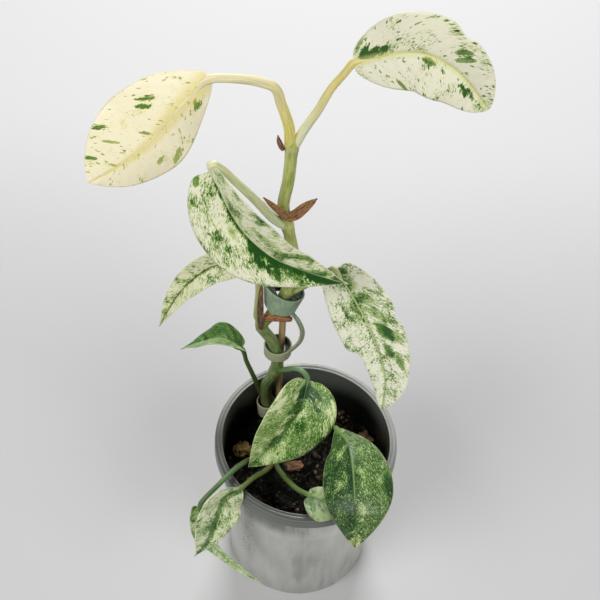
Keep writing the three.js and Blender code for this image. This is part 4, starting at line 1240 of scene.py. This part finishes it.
UPPER_LOOP = (((-20.5, 35, 242), 11, 9, 0.45), ((-22, 35, 227), 8.6, 8.8, 0.2))
LOWER_LOOP = (((-22.6, 36.5, 184), 7.6, 7.2, 0), ((-22.6, 36.5, 176), 7.4, 7.2, 0))
FOOT_LOOP = (((-28.8, 36.6, 118), 5.2, 5.2, 0.1), ((-28.2, 36.6, 105), 4.9, 5, 0))
TIE_RUN = [
    (-15.4, 29.2, 226), (-11, 31, 216), (-8, 32, 204), (-9, 32, 195), (-12, 32.5, 188), (-15, 34, 181),
]
TIE_RUN_ACROSS = Vector((0.24, 0.62, -0.74))
TIE_RUN_HALF_WIDTH = 4.4


def loop_place(loop, height, angle, outward):
    """A place on a loop of tape, at a height from 0 at its lower rim to 1 at its upper rim."""
    (top, top_x, top_y, top_tilt), (foot, foot_x, foot_y, foot_tilt) = loop
    middle = Vector(foot).lerp(Vector(top), height)
    x, y = math.cos(angle), math.sin(angle)
    half_x = mix(foot_x, top_x, height) + outward
    half_y = mix(foot_y, top_y, height) + outward
    drop = mix(foot_tilt, top_tilt, height) * x * half_x
    return Vector((middle.x + half_x * x, middle.y + half_y * y, middle.z - drop))


def soften(bm, edges, offset):
    bmesh.ops.bevel(bm, geom=edges, offset=offset, offset_type="OFFSET", affect="EDGES", segments=2, profile=0.5,
                    material=-1)


def thicken_tape(bm, faces, thick, inner):
    """Gives a sheet of tape its thickness with softened edges; inner tells the woolly side."""
    side = bm.verts.layers.float["side"]
    bm.normal_update()
    verts = list(dict.fromkeys(vert for part in faces for vert in part.verts))
    for below, _, normal in doubled(bm, faces, verts):
        below.co -= normal * thick
        below[side] = 1.0 if inner else 0.0
        verts.append(below)
    shell = faces_of(verts)
    bmesh.ops.recalc_face_normals(bm, faces=shell)
    rim = [edge for edge in dict.fromkeys(edge for part in shell for edge in part.edges)
           if len(edge.link_faces) == 2 and edge.calc_face_angle(0) > 1.0]
    soften(bm, rim, thick * 0.28)


def tape_loop(bm, loop, thick, rows=10):
    grain = bm.verts.layers.float_vector["grain"]
    known = set(bm.faces)
    grid = bmesh.ops.create_grid(bm, x_segments=96, y_segments=rows, size=1)["verts"]
    for vert in grid:
        angle = (vert.co.x + 1) * math.pi
        height = (vert.co.y + 1) / 2
        wobble = 0.12 * rough_noise((math.cos(angle) * 3, math.sin(angle) * 3, height * 2), 1.2, 3)
        vert[grain] = Vector((angle * 9, height * 13, 0))
        vert.co = loop_place(loop, height, angle, thick + wobble)
    bmesh.ops.remove_doubles(bm, verts=grid, dist=1e-3)
    faces = [part for part in bm.faces if part not in known]
    bmesh.ops.recalc_face_normals(bm, faces=faces)
    centre = Vector(loop[0][0])
    if (faces[0].calc_center_median() - centre).dot(faces[0].normal) < 0:
        bmesh.ops.reverse_faces(bm, faces=faces)
    thicken_tape(bm, faces, thick, True)


def wool_ring(bm, loop, height, size):
    """A roll of wool inside a loop, thin where the stake and the stem fill the loop."""
    side = bm.verts.layers.float["side"]

    def girth(angle):
        return size * (0.45 + 1.5 * abs(math.cos(angle)) ** 1.5 - 0.35 * min(math.sin(angle), 0))

    turns = [step * TURN / 24 for step in range(25)]
    points = [tuple(loop_place(loop, height, turn, -0.7 * girth(turn))) for turn in turns]
    roll = tube(bm, points, lambda share, place: girth(share * TURN), 10, 90,
                shape=lambda share, angle, place: 1 + 0.25 * rough_noise(place, 1.1, 6))
    for vert in roll:
        vert[side] = 1.0


def tape_finish(name, outside, inside, low_tint):
    tape = Finish(name)
    place = tape.object_place()
    woolly = tape.attribute("side").between(0.35, 0.75)
    round_it, up_it, _ = tape.split(tape.attribute("grain"))
    weave = tape.noise(tape.join(round_it * 1.6, up_it * 0.22, 0), 1.0, 3, 0.6)
    soft = tape.noise(place, 150, 2, 0.5)
    wool = tape.noise(place, 900, 4, 0.75)
    dark = shaded(outside, 0.75)
    face = tape.blend((soft * 0.3 + weave * 0.7).between(0.36, 0.64), dark, shaded(outside, 1.2))
    deep = shaded(inside, 0.3)
    pile = tape.ramp(wool, [(0.3, deep), (0.55, shaded(inside)), (0.75, shaded(inside, 2.2))])
    low = tape.split(place)[2].between(0.228, 0.195)
    khaki = tape.blend(soft * 0.6 + weave * 0.4, shaded(low_tint, 0.65), shaded(low_tint))
    face = tape.blend(low * 0.85, face, khaki)
    shade = tape.blend(woolly, face, pile)
    bump = tape.bump(weave * (1 - woolly) * 0.35 + wool * woolly, 0.0007, 0.8)
    return tape.surface(shade, 0.62 + woolly * 0.3, bump, {"Sheen Weight": 0.15})


def build_long_tape(look):
    thick = look.thickness / MM
    bm = new_mesh()
    grain = bm.verts.layers.float_vector["grain"]
    tape_loop(bm, UPPER_LOOP, thick)
    tape_loop(bm, LOWER_LOOP, thick, rows=6)
    for loop, height, size in ((UPPER_LOOP, 0.3, 1), (UPPER_LOOP, 0.7, 1.7), (LOWER_LOOP, 0.5, 0.8)):
        wool_ring(bm, loop, height, size)
    route = Route(TIE_RUN)
    known = set(bm.faces)
    grid = bmesh.ops.create_grid(bm, x_segments=10, y_segments=60, size=1)["verts"]
    for vert in grid:
        share = min(max((vert.co.y + 1) / 2, 0), 1)
        place, ahead = route.at(share)
        out = vert.co.x
        vert[grain] = Vector((share * route.length, out * TIE_RUN_HALF_WIDTH, 0))
        hollow = ahead.cross(TIE_RUN_ACROSS).normalized() * 0.3 * out * out
        vert.co = place + TIE_RUN_ACROSS * out * TIE_RUN_HALF_WIDTH + hollow
    faces = [part for part in bm.faces if part not in known]
    bmesh.ops.recalc_face_normals(bm, faces=faces)
    if faces[0].normal.x < 0:
        bmesh.ops.reverse_faces(bm, faces=faces)
    bm.normal_update()
    for vert in grid:
        vert.co += vert.normal * thick / 2
    thicken_tape(bm, faces, thick, False)
    finish = tape_finish("sage plant tape", look.outside, look.inside, look.low)
    finish_piece(bm, "long_plant_tape", ["plant_tie"], [finish])


def build_foot_tape(look):
    bm = new_mesh()
    tape_loop(bm, FOOT_LOOP, look.thickness / MM)
    finish = tape_finish("khaki foot tape", look.foot, look.inside, look.foot)
    finish_piece(bm, "foot_tape_loop", ["foot_tie"], [finish])


# ---------------------------------------------------------------- dried sheaths

PLAIN_HUSK = {
    "straight": 0, "curl": 20, "wave": 0, "waves": 1, "phase": 0, "step": None, "nicks": (),
    "widest": 0.4, "fullness": 0.5, "shoulder": 0.1, "lobe": 0, "face": (0, -0.8, 0.6), "tip_face": (0, -0.8, 0.6),
}
HUSKS = {
    "dried_sheath_middle": [
        ([(-18, 25.4, 307), (-22, 25, 311), (-27, 24.6, 316), (-33, 24, 323)], 2, 25, 0.5),
        ([(-22, 25.2, 309), (-17, 25, 311), (-12, 25, 317), (-6, 24, 325)], 2.8, 20, 0.5),
    ],
    "dried_sheath_top": [
        ([(-24, 27.2, 352.5), (-25.4, 27.2, 355), (-26.5, 27.5, 358), (-27, 27.5, 361)], 1.3, 10, 0.5),
    ],
    "dried_sheath_cap": [([(-31, 28.6, 219), (-27, 28.3, 221), (-21, 28.2, 221.5), (-14.5, 29, 219)], 3.6, -15, 0.2)],
    "dried_sheath_low": [([(-33, 28.2, 209), (-33.5, 27.5, 224), (-33.5, 27.5, 238), (-33, 28, 252)], 1.9, 10, 0.4)],
}
HUSK_SHADES = {
    "dried_sheath_middle": 0xa87850, "dried_sheath_top": 0x7b553c,
    "dried_sheath_cap": 0xa0693c, "dried_sheath_low": 0x5a3c2c,
}


def build_husk(look, name):
    bm = new_mesh()
    for points, half, fold, fullness in HUSKS[name]:
        scrap = {**PLAIN_HUSK, "midrib": points, "left": half, "right": half, "fold_left": (fold, fold),
                 "fold_right": (fold, fold), "fullness": fullness}
        blade(bm, scrap, 40, 10, 0.7, 0.45, 3, 0.1)
    husk = Finish(name.replace("_", " "))
    x, y, _ = husk.split(husk.attribute("grain"))
    streaks = husk.noise(husk.join(x * 1.6, y * 0.16, 1.0), 1.6, 3, 0.6)
    specks = husk.noise(husk.object_place(), 900, 2, 0.6)
    brown = paint(HUSK_SHADES[name])
    dark = paint(0x33231b)
    pale = paint(0xb98a5c)
    shade = husk.ramp(streaks, [(0.32, dark), (0.5, brown), (0.7, pale)])
    shade = husk.blend(specks.between(0.6, 0.68) * 0.6, shade, dark)
    finish = husk.surface(shade, 0.68 + specks * 0.15, husk.bump(streaks, 0.0005, 0.8))
    finish_piece(bm, name.replace("dried_sheath", "husk"), [name], [finish])


# ---------------------------------------------------------------- stage

# The photo's camera: its place in metres, how far it looks down and how far it leans, in degrees
CAMERA_AT = (-0.010742, -0.305071, 0.640759)
CAMERA_PITCH, CAMERA_ROLL = 50.3, 4.3


def build_stage(look):
    bm = bmesh.new()
    bmesh.ops.create_grid(bm, x_segments=1, y_segments=1, size=look.floor_size / 2,
                          matrix=Matrix.Translation((0, 0, -0.0002)))
    paper = Finish("pale paper floor")
    place = paper.object_place()
    # Painted shade: the floor is made darker towards the front, with faint blotches, standing in for the light falling
    # off there.
    painted_falloff_shade = paper.split(place)[1].between(0.5, 0.08) + (paper.noise(place, 3, 2, 0.5) - 0.5) * 0.05
    shade = paper.blend(painted_falloff_shade, shaded(look.floor), shaded(look.floor, 0.78))
    floor = written(bm, "floor", [paper.surface(shade, 0.9)])
    for name, place, power in (
        ("soft light behind", (0, 1.8, 1.6), look.back),
        ("soft light front left", (-1.1, -1.0, 1.5), look.front_left),
        ("soft light front right", (1.1, -1.0, 1.5), look.front_right),
    ):
        lamp = bpy.data.lights.new(name, "AREA")
        lamp.shape = "SQUARE"
        lamp.size = 1
        lamp.energy = power
        light = bpy.data.objects.new(name, lamp)
        light.location = place
        aim = Vector((0, 0, 0.18)) - Vector(place)
        light.rotation_euler = aim.to_track_quat("-Z", "Y").to_euler()
        bpy.context.scene.collection.objects.link(light)
    world = bpy.data.worlds.new("even light")
    world.use_nodes = True
    back = world.node_tree.nodes["Background"]
    back.inputs["Color"].default_value = (1, 1, 1, 1)
    back.inputs["Strength"].default_value = look.sky
    bpy.context.scene.world = world
    bpy.context.scene.view_settings.view_transform = "Standard"

    pitch, roll = math.radians(CAMERA_PITCH), math.radians(CAMERA_ROLL)
    ahead = Vector((0, math.cos(pitch), -math.sin(pitch)))
    level = Vector((1, 0, 0))
    above = level.cross(ahead)
    right = level * math.cos(roll) + above * math.sin(roll)
    up = above * math.cos(roll) - level * math.sin(roll)
    lens = bpy.data.cameras.new("camera")
    lens.lens = look.lens
    lens.sensor_width = 36
    lens.clip_start, lens.clip_end = 0.01, 50
    camera = bpy.data.objects.new("camera", lens)
    camera.matrix_world = Matrix.Translation(CAMERA_AT) @ Matrix((right, up, -ahead)).transposed().to_4x4()
    bpy.context.scene.collection.objects.link(camera)
    bpy.context.scene.camera = camera


# ---------------------------------------------------------------- operators and panel

class PieceOperator:
    bl_options = {"REGISTER", "UNDO"}

    def execute(self, context):
        self.make(context.scene.epipremnum)
        return {"FINISHED"}


class EPIPREMNUM_OT_pot(PieceOperator, bpy.types.Operator):
    """Spin the nursery pot and cut its drainage holes"""
    bl_idname = "epipremnum.pot"
    bl_label = "Nursery pot"

    def make(self, look):
        build_pot(look.pot)


class EPIPREMNUM_OT_soil(PieceOperator, bpy.types.Operator):
    """Fill the pot with lumpy peat, crumbs and fibres"""
    bl_idname = "epipremnum.soil"
    bl_label = "Potting soil"

    def make(self, look):
        build_soil(look.soil, look.pot)


class EPIPREMNUM_OT_lumps(PieceOperator, bpy.types.Operator):
    """Lay the coir tuft and the bark chips on the soil"""
    bl_idname = "epipremnum.lumps"
    bl_label = "Coir and bark"

    def make(self, look):
        build_coir(look.soil)
        bark_chip(look.soil, "front_bark_chip", "bark_chip_front", (-7, -3), 4.2, 1.7, 0.25, look.soil.bark)
        brown = [c * 0.85 for c in look.soil.bark]
        bark_chip(look.soil, "right_bark_chip", "bark_chip_right", (42, 23), 4.4, 1.3, 2.2, brown)


class EPIPREMNUM_OT_stake(PieceOperator, bpy.types.Operator):
    """Stand the wooden stake behind the stem"""
    bl_idname = "epipremnum.stake"
    bl_label = "Stake"

    def make(self, look):
        build_stake(look.tie)


class EPIPREMNUM_OT_stems(PieceOperator, bpy.types.Operator):
    """Grow the climbing stem and the low shoot"""
    bl_idname = "epipremnum.stems"
    bl_label = "Stem and shoot"

    def make(self, look):
        build_stem(look.plant)
        build_shoot(look.plant)


class EPIPREMNUM_OT_leaves(PieceOperator, bpy.types.Operator):
    """Grow the eleven leaves, each with its petiole, midrib and variegated blade"""
    bl_idname = "epipremnum.leaves"
    bl_label = "Leaves"

    def make(self, look):
        for name in LEAVES:
            build_leaf(look.plant, name)


class EPIPREMNUM_OT_ties(PieceOperator, bpy.types.Operator):
    """Tie the stem to the stake with the long tape and the foot tape"""
    bl_idname = "epipremnum.ties"
    bl_label = "Plant ties"

    def make(self, look):
        build_long_tape(look.tie)
        build_foot_tape(look.tie)


class EPIPREMNUM_OT_husks(PieceOperator, bpy.types.Operator):
    """Add the dried brown sheaths along the stem"""
    bl_idname = "epipremnum.husks"
    bl_label = "Dried sheaths"

    def make(self, look):
        for name in HUSKS:
            build_husk(look.plant, name)


class EPIPREMNUM_OT_stage(PieceOperator, bpy.types.Operator):
    """Set the pale floor, the soft lights and the camera"""
    bl_idname = "epipremnum.stage"
    bl_label = "Stage"

    def make(self, look):
        build_stage(look.stage)


STEPS = ("pot", "soil", "lumps", "stake", "stems", "leaves", "ties", "husks", "stage")


class EPIPREMNUM_PT_sidebar(bpy.types.Panel):
    """The pieces of the potted plant, in the order in which they are made"""
    bl_idname = "EPIPREMNUM_PT_sidebar"
    bl_label = "Epipremnum"
    bl_space_type = "VIEW_3D"
    bl_region_type = "UI"
    bl_category = "Epipremnum"

    def draw(self, context):
        for step in STEPS:
            self.layout.operator(f"epipremnum.{step}")
        look = context.scene.epipremnum
        for group in (look.pot, look.soil, look.plant, look.tie, look.stage):
            box = self.layout.box()
            for name in group.bl_rna.properties.keys():
                if name not in ("rna_type", "name"):
                    box.prop(group, name)


CLASSES = (
    PotLook, SoilLook, PlantLook, TieLook, StageLook, EpipremnumLook,
    EPIPREMNUM_OT_pot, EPIPREMNUM_OT_soil, EPIPREMNUM_OT_lumps, EPIPREMNUM_OT_stake, EPIPREMNUM_OT_stems,
    EPIPREMNUM_OT_leaves, EPIPREMNUM_OT_ties, EPIPREMNUM_OT_husks, EPIPREMNUM_OT_stage, EPIPREMNUM_PT_sidebar,
)


def register():
    for kind in CLASSES:
        bpy.utils.register_class(kind)
    bpy.types.Scene.epipremnum = PointerProperty(type=EpipremnumLook)


def unregister():
    del bpy.types.Scene.epipremnum
    for kind in reversed(CLASSES):
        bpy.utils.unregister_class(kind)


def main():
    register()
    for step in STEPS:
        getattr(bpy.ops.epipremnum, step)()


if __name__ == "__main__":
    main()
